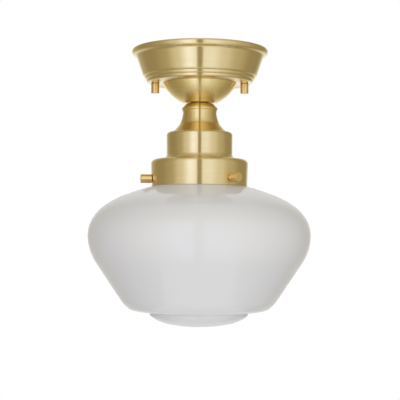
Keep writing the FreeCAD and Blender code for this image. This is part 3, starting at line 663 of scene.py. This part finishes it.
class Finishes(Enum):
    """The finishes of the light's pieces."""

    SATIN_BRASS = TurnedMetal("satin_brass", (0.815, 0.668, 0.372), 0.21, smudge=0.02, anisotropy=1.0)
    # Painted light: a brighter copy of the satin brass, so the bowl reads lighter than the same metal
    # elsewhere.
    BOWL_BRASS_PAINTED_LIGHT = TurnedMetal(
        "bowl_brass_painted_light",
        (0.90, 0.725, 0.36),
        0.23,
        smudge=0.02,
        slot="satin_brass",
        anisotropy=1.0,
        line_depth=0.6,
    )
    # Painted shade: a darker, more saturated copy of the satin brass, so the neck's bell reads deeper than
    # the same metal elsewhere.
    NECK_BRASS_PAINTED_SHADE = TurnedMetal(
        "neck_brass_painted_shade",
        (0.79, 0.61, 0.29),
        0.17,
        smudge=0.02,
        slot="satin_brass",
        anisotropy=0.92,
        line_depth=0.4,
        line_skew=0.01,
        line_tone=0.12,
    )
    FASTENER_BRASS = TurnedMetal(
        "fastener_brass",
        (0.83, 0.60, 0.26),
        0.21,
        smudge=0.03,
        anisotropy=0.3,
        lines_per_mm=4.0,
        line_depth=0.02,
        line_skew=0.0,
        line_tone=0.12,
    )
    CONTACT_BRASS = PlainMetal("contact_brass", (0.80, 0.60, 0.30), 0.28)
    ZINC_STEEL = PlainMetal("zinc_steel", (0.56, 0.57, 0.58), 0.34, tint=0.2)
    GREEN_STEEL = PlainMetal("green_steel", (0.05, 0.30, 0.10), 0.35)
    OPAL_GLASS = CoatedBody(
        "opal_glass",
        (0.875, 0.865, 0.855),
        0.45,
        smudge=0.04,
        tint=0.02,
        smudge_size_mm=60.0,
        specular=0.1,
        coat_roughness=0.07,
        ripple=40.0,
        # painted shade: a cooler, darker base colour at the glass's rim, offsetting the warm light there
        painted_rim_colour=(0.84, 0.86, 0.97),
        rim_coat=0.45,
    )
    PORCELAIN = CoatedBody("porcelain", (0.82, 0.80, 0.74), 0.4, coat_roughness=0.08)
    BLACK_INSULATION = CoatedBody(
        "black_insulation", (0.015, 0.015, 0.016), 0.5, coat=0.2, coat_roughness=0.3
    )
    WHITE_INSULATION = CoatedBody("white_insulation", (0.75, 0.75, 0.72), 0.5, coat=0.2, coat_roughness=0.3)
    GREEN_INSULATION = CoatedBody("green_insulation", (0.04, 0.25, 0.07), 0.5, coat=0.2, coat_roughness=0.3)
    CONNECTOR_PLASTIC = CoatedBody("connector_plastic", (0.70, 0.20, 0.03), 0.5, coat=0.1, coat_roughness=0.4)
    CAP_INSULATOR = CoatedBody("cap_insulator", (0.02, 0.02, 0.025), 0.2, coat_roughness=0.1)
    BULB_GLASS = FrostedGlass("bulb_glass", (0.92, 0.92, 0.90), 0.4)


class Workshop:
    """Makes each finish once, and puts pieces on their bodies."""

    def __init__(self, frame: dict) -> None:
        """Keeps the frame and builds the shared effects."""
        self.nodes: dict[str, bpy.types.Object] = frame["nodes"]
        self.body_of: dict[str, str] = {
            node: body for body, members in frame["record"]["behaviour"]["bodies"].items() for node in members
        }
        self.effects = SharedEffects()
        self.made: dict[Finishes, bpy.types.Material] = {}

    def material(self, finish: Finishes) -> bpy.types.Material:
        """The finish's material."""
        if finish not in self.made:
            self.made[finish] = finish.value.make(self.effects)
        return self.made[finish]

    def dress(self, node: str, finish: Finishes) -> None:
        """Gives a CAD node a finish."""
        mesh = self.nodes[node].data
        mesh.materials.clear()
        mesh.materials.append(self.material(finish))
        LOG.info("dressed %s in %s", node, finish.value.name)

    def stand_in(self, piece: bpy.types.Object, node: str, finish: Finishes) -> bpy.types.Object:
        """Puts a new piece in the place of a CAD node, on the node's body."""
        piece.data.materials.clear()
        piece.data.materials.append(self.material(finish))
        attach(piece, self.body_of[node])
        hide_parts(node)
        LOG.info("made %s for %s: %d faces", piece.name, node, len(piece.data.polygons))
        return piece


def levels(node: str) -> tuple[float, float]:
    """The lowest and highest level of a CAD node, in millimetres."""
    low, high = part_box(node)
    return low.z / MM, high.z / MM


# ---- turned brass ---------------------------------------------------------------------------------
@dataclass
class Canopy:
    """The spun pan against the ceiling: rolled lip over a cove, tapering wall, two rings, flat underside."""

    wall: float = 0.8
    mouth_r: float = 70.0
    lip_r: float = 75.15
    lip_top_round: float = 3.0
    lip_under_in: float = 3.0
    lip_under_fall: float = 4.03
    lip_bulge: float = 0.83
    lip_height: float = 9.5
    wall_top_r: float = 69.55
    wall_bottom_r: float = 63.3
    roll_in: float = 2.3
    roll_height: float = 2.6
    roll_bulge: float = 0.35
    rings: int = 2
    ring_step: float = 0.2
    ring_width: float = 1.9
    ring_height: float = 3.4
    ring_bulge: float = 0.8
    ring_groove: float = 0.1
    hole_r: float = 5.15
    edge: float = 0.35
    sides: int = 256

    def outline(self) -> Outline:
        """The outside, from the hole in the underside up to the mouth, then back down the inside."""
        floor, top = levels("canopy")
        roll_foot = floor + self.rings * self.ring_height
        wall_bottom = roll_foot + self.roll_height
        first_r = self.wall_bottom_r - self.roll_in - self.ring_step
        outer = [first_r - i * (self.ring_width + self.ring_step) for i in range(self.rings)]
        inner_lip_r = self.lip_r - self.wall
        pan = Outline(self.hole_r, floor).line(outer[-1] - self.ring_width, floor)
        for i in reversed(range(self.rings)):
            ring_top = roll_foot - i * self.ring_height
            pan.bulge(outer[i], ring_top - self.ring_groove, -self.ring_bulge)
            pan.line(outer[i] + self.ring_step, ring_top)
        pan.bulge(self.wall_bottom_r, wall_bottom, -self.roll_bulge)
        pan.line(self.wall_top_r, top - self.lip_height)
        pan.smooth(self.lip_r - self.lip_under_in, top - self.lip_top_round - self.lip_under_fall)
        pan.bulge(self.lip_r, top - self.lip_top_round, -self.lip_bulge)
        pan.smooth(self.lip_r - self.lip_top_round, top)
        pan.line(self.mouth_r, top).line(self.mouth_r, top - self.wall)
        pan.line(self.lip_r - self.lip_top_round, top - self.wall)
        pan.smooth(inner_lip_r, top - self.lip_top_round)
        pan.line(inner_lip_r - self.lip_under_in, top - self.lip_top_round - self.lip_under_fall + self.wall)
        pan.line(self.wall_top_r - self.wall, top - self.lip_height)
        pan.line(self.wall_bottom_r - self.wall, wall_bottom)
        pan.line(outer[-1] - self.ring_width, floor + self.wall).line(self.hole_r, floor + self.wall)
        return pan.line(self.hole_r, floor)

    def build(self, shop: Workshop) -> None:
        """Turns the pan."""
        profile = self.outline().eased(self.edge, closed=True)
        shop.stand_in(turned_object("canopy_pan", profile, True, self.sides), "canopy", Finishes.SATIN_BRASS)


@dataclass
class Bowl:
    """The domed cover between the canopy and the neck."""

    wall: float = 1.0
    rim_r: float = 40.7
    foot_r: float = 18.2
    bulge: float = 2.9
    hole_r: float = 5.15
    edge: float = 0.4
    sides: int = 224

    def build(self, shop: Workshop) -> None:
        """Turns the dome and its inside."""
        bottom, top = levels("bowl")
        dome = Outline(self.hole_r, bottom).line(self.foot_r, bottom)
        dome.bulge(self.rim_r, top, -self.bulge).line(self.rim_r - self.wall, top)
        dome.bulge(self.foot_r - self.wall / 2, bottom + self.wall, self.bulge)
        dome.line(self.hole_r, bottom + self.wall).line(self.hole_r, bottom)
        profile = dome.eased(self.edge, closed=True)
        # the bowl takes the brighter copy of the satin brass, as painted light
        shop.stand_in(turned_object("bowl_dome", profile, True, self.sides), "bowl", Finishes.BOWL_BRASS_PAINTED_LIGHT)


@dataclass
class Neck:
    """The hollow casting: a groove, a coned bead, a waist and a bell flare below."""

    wall: float = 2.0
    groove_r: float = 9.0
    groove_height: float = 0.9
    bead_top_r: float = 15.3
    bead_cone_r: float = 19.5
    bead_cone_height: float = 4.5
    bead_height: float = 7.3
    bead_foot_r: float = 19.0
    bead_bulge: float = 0.55
    waist_r: float = 18.5
    waist_height: float = 2.8
    bell_r: float = 29.4
    bell_bulge: float = 2.3
    bell_edge: float = 0.5
    bell_foot_r: float = 22.0
    bell_foot_height: float = 8.85
    bell_throat_bulge: float = 0.52
    bell_foot_bulge: float = 0.12
    hole_r: float = 5.15
    edge: float = 0.4
    corner_deg: float = 20.0
    sides: int = 224

    def build(self, shop: Workshop) -> None:
        """Turns the casting."""
        bottom, top = levels("neck")
        bead_top = top - self.groove_height
        bead_bottom = bead_top - self.bead_height
        waist = bead_bottom - self.waist_height
        web = bead_top - self.wall
        cast = Outline(self.hole_r, top).line(self.hole_r, web).line(self.bead_top_r - self.wall, web)
        cast.line(self.waist_r - self.wall, bead_bottom).line(self.waist_r - self.wall, waist)
        cast.bulge(self.bell_r - self.wall, bottom, -self.bell_bulge).line(self.bell_r, bottom)
        cast.line(self.bell_r, bottom + self.bell_edge)
        cast.bulge(self.bell_foot_r, bottom + self.bell_foot_height, self.bell_foot_bulge)
        cast.bulge(self.waist_r, waist, self.bell_throat_bulge)
        cast.line(self.bead_foot_r, bead_bottom)
        cast.bulge(self.bead_cone_r, bead_top - self.bead_cone_height, -self.bead_bulge)
        cast.line(self.bead_top_r, bead_top)
        cast.line(self.groove_r, bead_top).line(self.groove_r, top).line(self.hole_r, top)
        profile = cast.eased(self.edge, closed=True, corner_deg=self.corner_deg)
        # the neck takes the darker copy of the satin brass, as painted shade
        shop.stand_in(turned_object("neck_casting", profile, True, self.sides), "neck", Finishes.NECK_BRASS_PAINTED_SHADE)


@dataclass
class ShadeHolder:
    """The stepped spinning: a cup over a wide collar."""

    wall: float = 1.05
    cup_r: float = 36.4
    cup_round: float = 3.7
    cup_wall_height: float = 21.1
    cup_wall_bottom_r: float = 36.2
    cove_height: float = 4.8
    cove_r: float = 39.4
    cove_bulge: float = 0.35
    collar_step: float = 0.6
    collar_r: float = 53.55
    collar_round: float = 5.2
    collar_taper_in: float = 0.85
    edge: float = 0.35
    hole_r: float = 5.15
    sides: int = 256

    def side(self, inset: float) -> Outline:
        """One face of the sheet, from the collar's edge up to the hole, set in from the outside by a wall.

        Args:
            inset: how far inside the outer face this one lies.

        Returns:
            The outline of that face.
        """
        bottom, top = levels("shade_holder")
        cup_low = top - self.cup_round - self.cup_wall_height
        cove_low = cup_low - self.cove_height
        collar_top = cove_low - self.collar_step
        face = Outline(self.collar_r - self.collar_taper_in - inset, bottom)
        face.line(self.collar_r - inset, collar_top - self.collar_round)
        face.smooth(self.collar_r - self.collar_round, collar_top - inset)
        face.line(self.cove_r - inset, collar_top - inset)
        if inset == 0:
            face.line(self.cove_r, cove_low)
        face.bulge(self.cup_wall_bottom_r - inset, cup_low, self.cove_bulge)
        face.line(self.cup_r - inset, top - self.cup_round)
        face.smooth(self.cup_r - self.cup_round, top - inset)
        return face.line(self.hole_r, top - inset)

    def build(self, shop: Workshop) -> None:
        """Turns the sheet's two faces as one loop."""
        outer = self.side(0.0)
        inner = np.concatenate(self.side(self.wall).points)[::-1]
        outer.points.append(inner)
        outer.points.append(outer.points[0])
        profile = outer.eased(self.edge, closed=True)
        piece = turned_object("holder_spinning", profile, True, self.sides)
        shop.stand_in(piece, "shade_holder", Finishes.SATIN_BRASS)


@dataclass
class CapNut:
    """A closed round nut under the canopy."""

    radius: float = 4.5
    edge: float = 0.5
    top_edge: float = 0.2
    edge_ease: float = 0.15
    bore_r: float = 2.1
    bore_depth: float = 8.9
    sides: int = 96

    def build(self, shop: Workshop, node: str) -> None:
        """Turns the nut and its blind bore."""
        bottom, top = levels(node)
        low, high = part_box(node)
        x = (low.x + high.x) / 2 / MM
        nut = Outline(0.0, bottom).line(self.radius - self.edge, bottom)
        nut.smooth(self.radius, bottom + self.edge).line(self.radius, top - self.top_edge)
        nut.line(self.radius - self.top_edge, top)
        nut.line(self.bore_r, top).line(self.bore_r, top - self.bore_depth).line(0.0, top - self.bore_depth)
        profile = nut.eased(self.edge_ease, closed=False)
        piece = turned_object(f"{node}_turned", profile, False, self.sides, upright(x, 0.0))
        shop.stand_in(piece, node, Finishes.FASTENER_BRASS)


@dataclass
class Thumbscrew:
    """A plain round-headed screw that points at the glass neck, with a ringed shank."""

    head_r: float = 4.9
    head_length: float = 12.0
    edge: float = 0.5
    shank_r: float = 2.05
    thread_depth: float = 0.3
    thread_pitch: float = 0.8
    thread_start: float = 0.2
    crest_share: float = 0.35
    root_share: float = 0.85
    edge_ease: float = 0.12
    corner_deg: float = 60.0
    sides: int = 96

    def build(self, shop: Workshop, node: str, degrees: float) -> None:
        """Turns the screw along its own axis and lays it in place."""
        low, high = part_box(node)
        height = (low.z + high.z) / 2 / MM
        along = Vector((math.cos(math.radians(degrees)), math.sin(math.radians(degrees)), 0.0))
        mesh = shop.nodes[node].data
        points = np.empty(3 * len(mesh.vertices), np.float32)
        mesh.vertices.foreach_get("co", points)
        reach = points.reshape(-1, 3).astype(float) @ np.array(along) / MM
        tip, end = float(reach.min()), float(reach.max())
        head = end - self.head_length
        screw = Outline(0.0, tip).line(self.shank_r - self.thread_depth, tip)
        turns = int((head - tip - 2 * self.thread_start) / self.thread_pitch)
        for i in range(turns):
            start = tip + self.thread_start + i * self.thread_pitch
            screw.line(self.shank_r, start + self.thread_pitch * self.crest_share)
            screw.line(self.shank_r - self.thread_depth, start + self.thread_pitch * self.root_share)
        screw.line(self.shank_r - self.thread_depth, head).line(self.head_r - self.edge, head)
        screw.smooth(self.head_r, head + self.edge).line(self.head_r, end - self.edge)
        screw.smooth(self.head_r - self.edge, end).line(0.0, end)
        profile = screw.eased(self.edge_ease, closed=False, corner_deg=self.corner_deg)
        piece = turned_object(f"{node}_turned", profile, False, self.sides, pointing_out(degrees, height))
        shop.stand_in(piece, node, Finishes.FASTENER_BRASS)


# ---- glass shade ----------------------------------------------------------------------------------
@dataclass
class GlassShade:
    """The blown opal shade: lipped neck, round shoulder, straight sides, crease, bead and shallow cap.

    The steps go down the outside, each from the end of the one before it: out from the axis, and down.
    """

    wall: float = 3.0
    neck_r: float = 48.7
    lip: float = 1.1
    lip_height: float = 4.0
    seat_drop: float = -0.08
    neck_round: tuple[float, float] = (2.9, 3.77)
    shoulder: tuple[float, float] = (31.2, 10.2)
    upper_belly: tuple[float, float] = (20.7, 11.1)
    lower_belly: tuple[float, float] = (13.4, 14.4)
    belly: tuple[float, float] = (5.1, 19.0)
    hip: tuple[float, float] = (-2.3, 14.6)
    side_top: tuple[float, float] = (-8.2, 16.8)
    side: tuple[float, float] = (-25.8, 38.5)
    heel: tuple[float, float] = (-7.8, 8.5)
    foot: tuple[float, float] = (-5.3, 2.6)
    crease: tuple[float, float] = (-18.8, 1.9)
    bead: tuple[float, float] = (-0.5, 4.1)
    bead_bulge: float = 0.5
    cap_rim: tuple[float, float] = (-7.3, 4.9)
    cap_rim_bulge: float = 0.35
    cap: tuple[float, float] = (-14.2, 4.4)
    cap_rise: float = 0.5
    edge: float = 1.2
    longest_run: float = 3.0
    sides: int = 224

    def outside(self) -> np.ndarray:
        """The outer face from the lip's top to the bottom of the cap."""
        bottom, top = levels("glass_shade")
        lip_bottom = top - self.lip_height
        seat = levels("shade_holder")[0] - self.seat_drop
        blown = Outline(self.neck_r + self.lip, top).line(self.neck_r + self.lip, lip_bottom)
        blown.line(self.neck_r, lip_bottom - self.lip).line(self.neck_r, seat + self.neck_round[1])
        blown.smooth(self.neck_r + self.neck_round[0], seat)
        rounded = (self.shoulder, self.upper_belly, self.lower_belly, self.belly, self.hip, self.side_top)
        for out, fall in rounded:
            blown.smooth(blown.end[0] + out, blown.end[1] - fall)
        blown.line(blown.end[0] + self.side[0], blown.end[1] - self.side[1])
        for out, fall in (self.heel, self.foot, self.crease):
            blown.smooth(blown.end[0] + out, blown.end[1] - fall)
        blown.bulge(blown.end[0] + self.bead[0], blown.end[1] - self.bead[1], self.bead_bulge)
        blown.bulge(blown.end[0] + self.cap_rim[0], blown.end[1] - self.cap_rim[1], self.cap_rim_bulge)
        blown.smooth(blown.end[0] + self.cap[0], blown.end[1] - self.cap[1]).pole(bottom + self.cap_rise)
        return blown.eased(self.edge, closed=False)

    def build(self, shop: Workshop) -> None:
        """Offsets the outside along its normals, P - w N, for the inner face, and turns both as one wall."""
        outer = divided(self.outside(), False, self.longest_run)
        slope = np.gradient(outer, axis=0)
        normal = np.stack([-slope[:, 1], slope[:, 0]], 1)
        normal /= np.hypot(*normal.T)[:, None]
        inner = outer - normal * self.wall
        inner[-1, 0] = 0.0
        profile = np.concatenate([inner[::-1], outer])
        piece = turned_object("opal_shade", profile, False, self.sides)
        shop.stand_in(piece, "glass_shade", Finishes.OPAL_GLASS)


# ---- the hardware inside --------------------------------------------------------------------------
ZINC_PLATED = (
    "box_strap",
    "swivel_eyelet",
    "stud_strap",
    "canopy_studs",
    "stud_lock_nuts",
    "threaded_tube",
    "canopy_tube_washer",
    "canopy_tube_nut",
    "holder_tube_washer",
    "holder_tube_nut",
    "socket_bracket",
    "bracket_screws",
)


@dataclass
class Hardware:
    """The crossbar, tube, lampholder, leads and bulb: CAD nodes that keep their shape."""

    finishes: dict[str, Finishes] = field(
        default_factory=lambda: {
            **dict.fromkeys(ZINC_PLATED, Finishes.ZINC_STEEL),
            "earth_screw": Finishes.GREEN_STEEL,
            "thread_inserts": Finishes.CONTACT_BRASS,
            "porcelain_body": Finishes.PORCELAIN,
            "screw_shell": Finishes.CONTACT_BRASS,
            "centre_contact": Finishes.CONTACT_BRASS,
            "terminal_plates": Finishes.CONTACT_BRASS,
            "terminal_screws": Finishes.CONTACT_BRASS,
            "black_lead": Finishes.BLACK_INSULATION,
            "white_lead": Finishes.WHITE_INSULATION,
            "earth_lug": Finishes.CONTACT_BRASS,
            "earth_lead": Finishes.GREEN_INSULATION,
            "wire_connectors": Finishes.CONNECTOR_PLASTIC,
            "bulb_tip": Finishes.CAP_INSULATOR,
            "bulb_cap": Finishes.CONTACT_BRASS,
            "bulb_glass": Finishes.BULB_GLASS,
        }
    )

    def build(self, shop: Workshop) -> None:
        """Dresses each node."""
        for node, finish in self.finishes.items():
            shop.dress(node, finish)


# ---- studio ---------------------------------------------------------------------------------------
@dataclass
class Studio:
    """A white sweep, soft light from both sides of the camera, and the camera itself.

    Attributes:
        camera_distance: from the light's axis, in metres.
        camera_height: of the lens, in metres.
        aim_height: of the point in the middle of the picture, in metres.
        aim_x: that point's place to the right of the axis, in metres.
        roll_deg: how far the camera leans to its left.
        lens_mm: focal length.
        sensor_mm: width of the sensor.
        near_clip: nearest that the camera sees, in metres.
        floor_height: of the pale floor, in metres.
        floor_half_size: from its middle to its edges, in metres.
        floor_colour: linear base colour of its paper.
        floor_roughness: its roughness.
        light_bands: light levels round the horizon, as degrees to the right of the camera and a level.
        band_share: how much of those bands is left, as degrees of elevation and a share.
        gain: what every band is multiplied by.
        brightest: the level that a ramp's white stands for.
        rest_level: the level where no band shines, as degrees of elevation and a level.
        green_law: a, b and c that give the green light a L^2 + b L + c from the level L.
        blue_law: the same for the blue light.
        backdrop_deg: how far from the camera the white backdrop starts, and where it is full.
    """

    camera_distance: float = 1.21
    camera_height: float = -0.210
    aim_height: float = -0.1661
    aim_x: float = 0.0007
    roll_deg: float = 0.25
    lens_mm: float = 99.0
    sensor_mm: float = 36.0
    near_clip: float = 0.05
    floor_height: float = -1.6
    floor_half_size: float = 0.8
    floor_colour: tuple[float, float, float] = (0.85, 0.85, 0.84)
    floor_roughness: float = 0.9
    light_bands: tuple[tuple[float, float], ...] = (
        (-180.0, 0.90),
        (-165.0, 0.62),
        (-146.0, 0.46),
        (-120.0, 0.34),
        (-100.0, 0.35),
        (-72.0, 0.45),
        (-46.0, 0.74),
        (-21.0, 1.13),
        (-6.8, 1.02),
        (-4.4, 0.36),
        (4.4, 0.36),
        (6.8, 0.95),
        (24.0, 0.98),
        (51.0, 0.76),
        (78.0, 0.54),
        (113.0, 0.36),
        (139.0, 0.33),
        (152.0, 0.48),
        (165.0, 0.62),
        (180.0, 0.90),
    )
    band_share: tuple[tuple[float, float], ...] = (
        (-90.0, 0.0),
        (-70.0, 0.4),
        (-50.0, 1.0),
        (38.0, 1.0),
        (62.0, 0.1),
        (90.0, 0.0),
    )
    rest_level: tuple[tuple[float, float], ...] = (
        (-90.0, 0.2),
        (0.0, 0.5),
        (40.0, 0.55),
        (90.0, 0.6),
    )
    gain: float = 1.08
    brightest: float = 1.2
    green_law: tuple[float, float, float] = (0.184, 0.873, -0.029)
    blue_law: tuple[float, float, float] = (1.182, -0.208, 0.1245)
    backdrop_deg: tuple[float, float] = (148.0, 176.0)

    def build(self) -> None:
        """Makes the camera, the world and the floor."""
        self._camera()
        self._world()
        self._floor()
        bpy.context.scene.view_settings.view_transform = "Standard"

    def _camera(self) -> None:
        """A level-standing camera in front of the light, aimed a little up."""
        data = bpy.data.cameras.new("camera")
        data.lens = self.lens_mm
        data.sensor_width = self.sensor_mm
        data.clip_start = self.near_clip
        camera = bpy.data.objects.new("camera", data)
        camera.location = (self.aim_x, -self.camera_distance, self.camera_height)
        aim = Vector((self.aim_x, 0.0, self.aim_height)) - camera.location
        roll = Quaternion((0.0, 0.0, 1.0), math.radians(self.roll_deg))
        camera.rotation_euler = (aim.to_track_quat("-Z", "Y") @ roll).to_euler()
        bpy.context.scene.collection.objects.link(camera)
        bpy.context.scene.camera = camera

    @staticmethod
    def _by_elevation(stops: tuple[tuple[float, float], ...], top: float) -> list[tuple[float, float]]:
        """Turns stops of elevation and level into ramp places (1 + sin e) / 2 and shares of the top level."""
        return [((1 + math.sin(math.radians(degrees))) / 2, level / top) for degrees, level in stops]

    def _world(self) -> None:
        """Soft light whose level depends on the direction, and a white backdrop.

        The backdrop is white all round to the camera and through glass, and metal mirrors the part of it that
        stands behind the light.
        """
        world = bpy.data.worlds.new("studio")
        bpy.context.scene.world = world
        world.use_nodes = True
        tree = world.node_tree
        tree.nodes.clear()
        wire = Wiring(tree)
        place = wire.add("ShaderNodeTexCoord")
        split = wire.add("ShaderNodeSeparateXYZ")
        wire.join(place.outputs["Generated"], split.inputs[0])
        azimuth = wire.math("ARCTAN2", split.outputs[0], wire.math("MULTIPLY", split.outputs[1], -1.0))
        turn = wire.math("MULTIPLY_ADD", azimuth, 0.5 / math.pi)
        turn.node.inputs[2].default_value = 0.5
        stops = [((degrees + 180.0) / 360.0, level / self.brightest) for degrees, level in self.light_bands]
        bands = wire.math("MULTIPLY", wire.ramp(turn, stops), self.brightest * self.gain)
        height = wire.math("MULTIPLY_ADD", split.outputs[2], 0.5)
        height.node.inputs[2].default_value = 0.5
        share = wire.ramp(height, self._by_elevation(self.band_share, 1.0))
        rest_stops = self._by_elevation(self.rest_level, self.brightest)
        rest = wire.math("MULTIPLY", wire.ramp(height, rest_stops), self.brightest)
        level = wire.math("MULTIPLY_ADD", wire.math("SUBTRACT", bands, rest), share)
        wire.join(rest, level.node.inputs[2])
        colour = wire.add("ShaderNodeCombineXYZ")
        wire.join(level, colour.inputs[0])
        for channel, (square, slope, start) in enumerate((self.green_law, self.blue_law), start=1):
            inner = wire.math("MULTIPLY_ADD", level, square)
            inner.node.inputs[2].default_value = slope
            light = wire.math("MULTIPLY_ADD", level, inner)
            light.node.inputs[2].default_value = start
            wire.join(light, colour.inputs[channel])
        studio = wire.add("ShaderNodeBackground")
        wire.join(colour.outputs[0], studio.inputs["Color"])
        white = wire.add("ShaderNodeBackground")
        white.inputs["Color"].default_value = (1.0, 1.0, 1.0, 1.0)
        path = wire.add("ShaderNodeLightPath")
        away = wire.math("MULTIPLY", wire.math("ABSOLUTE", azimuth), 180 / math.pi)
        first, full = self.backdrop_deg
        behind = wire.add("ShaderNodeMapRange", interpolation_type="SMOOTHSTEP")
        wire.join(away, behind.inputs["Value"])
        behind.inputs["From Min"].default_value = first
        behind.inputs["From Max"].default_value = full
        mirrored = wire.math("MULTIPLY", path.outputs["Is Glossy Ray"], behind.outputs[0])
        seen = wire.math("MAXIMUM", path.outputs["Is Camera Ray"], path.outputs["Is Transmission Ray"])
        seen = wire.math("MAXIMUM", seen, mirrored)
        mix = wire.add("ShaderNodeMixShader")
        wire.join(seen, mix.inputs[0])
        wire.join(studio.outputs[0], mix.inputs[1])
        wire.join(white.outputs[0], mix.inputs[2])
        output = wire.add("ShaderNodeOutputWorld")
        wire.join(mix.outputs[0], output.inputs[0])

    def _floor(self) -> None:
        """A pale floor well below the light, white where it is seen directly or mirrored."""
        mesh = bpy.data.meshes.new("floor")
        signs = np.array([(-1, -1), (1, -1), (1, 1), (-1, 1)], float)
        corners = np.column_stack([signs * self.floor_half_size, np.full(len(signs), self.floor_height)])
        mesh.from_pydata(corners.tolist(), [], [(0, 1, 2, 3)])
        floor = bpy.data.objects.new("floor", mesh)
        bpy.context.scene.collection.objects.link(floor)
        material = bpy.data.materials.new("floor_paper")
        material.use_nodes = True
        wire = Wiring(material.node_tree)
        shader = material.node_tree.nodes["Principled BSDF"]
        shader.inputs["Base Color"].default_value = (*self.floor_colour, 1.0)
        shader.inputs["Roughness"].default_value = self.floor_roughness
        glow = wire.add("ShaderNodeEmission")
        path = wire.add("ShaderNodeLightPath")
        seen = wire.math("MAXIMUM", path.outputs["Is Camera Ray"], path.outputs["Is Transmission Ray"])
        seen = wire.math("MAXIMUM", seen, path.outputs["Is Glossy Ray"])
        mix = wire.add("ShaderNodeMixShader")
        wire.join(seen, mix.inputs[0])
        wire.join(shader.outputs[0], mix.inputs[1])
        wire.join(glow.outputs[0], mix.inputs[2])
        wire.join(mix.outputs[0], material.node_tree.nodes["Material Output"].inputs[0])
        mesh.materials.append(material)


THUMBSCREW_DEGREES = {"thumbscrew_front": -50.0, "thumbscrew_left": -170.0, "thumbscrew_back": 70.0}


def main() -> None:
    """Builds every piece in order."""
    logging.basicConfig(level=logging.INFO, format="%(name)s: %(message)s")
    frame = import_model()
    Studio().build()
    shop = Workshop(frame)
    Canopy().build(shop)
    Bowl().build(shop)
    Neck().build(shop)
    ShadeHolder().build(shop)
    for node in ("cap_nut_left", "cap_nut_right"):
        CapNut().build(shop, node)
    for node, degrees in THUMBSCREW_DEGREES.items():
        Thumbscrew().build(shop, node, degrees)
    GlassShade().build(shop)
    Hardware().build(shop)


if __name__ == "__main__":
    main()
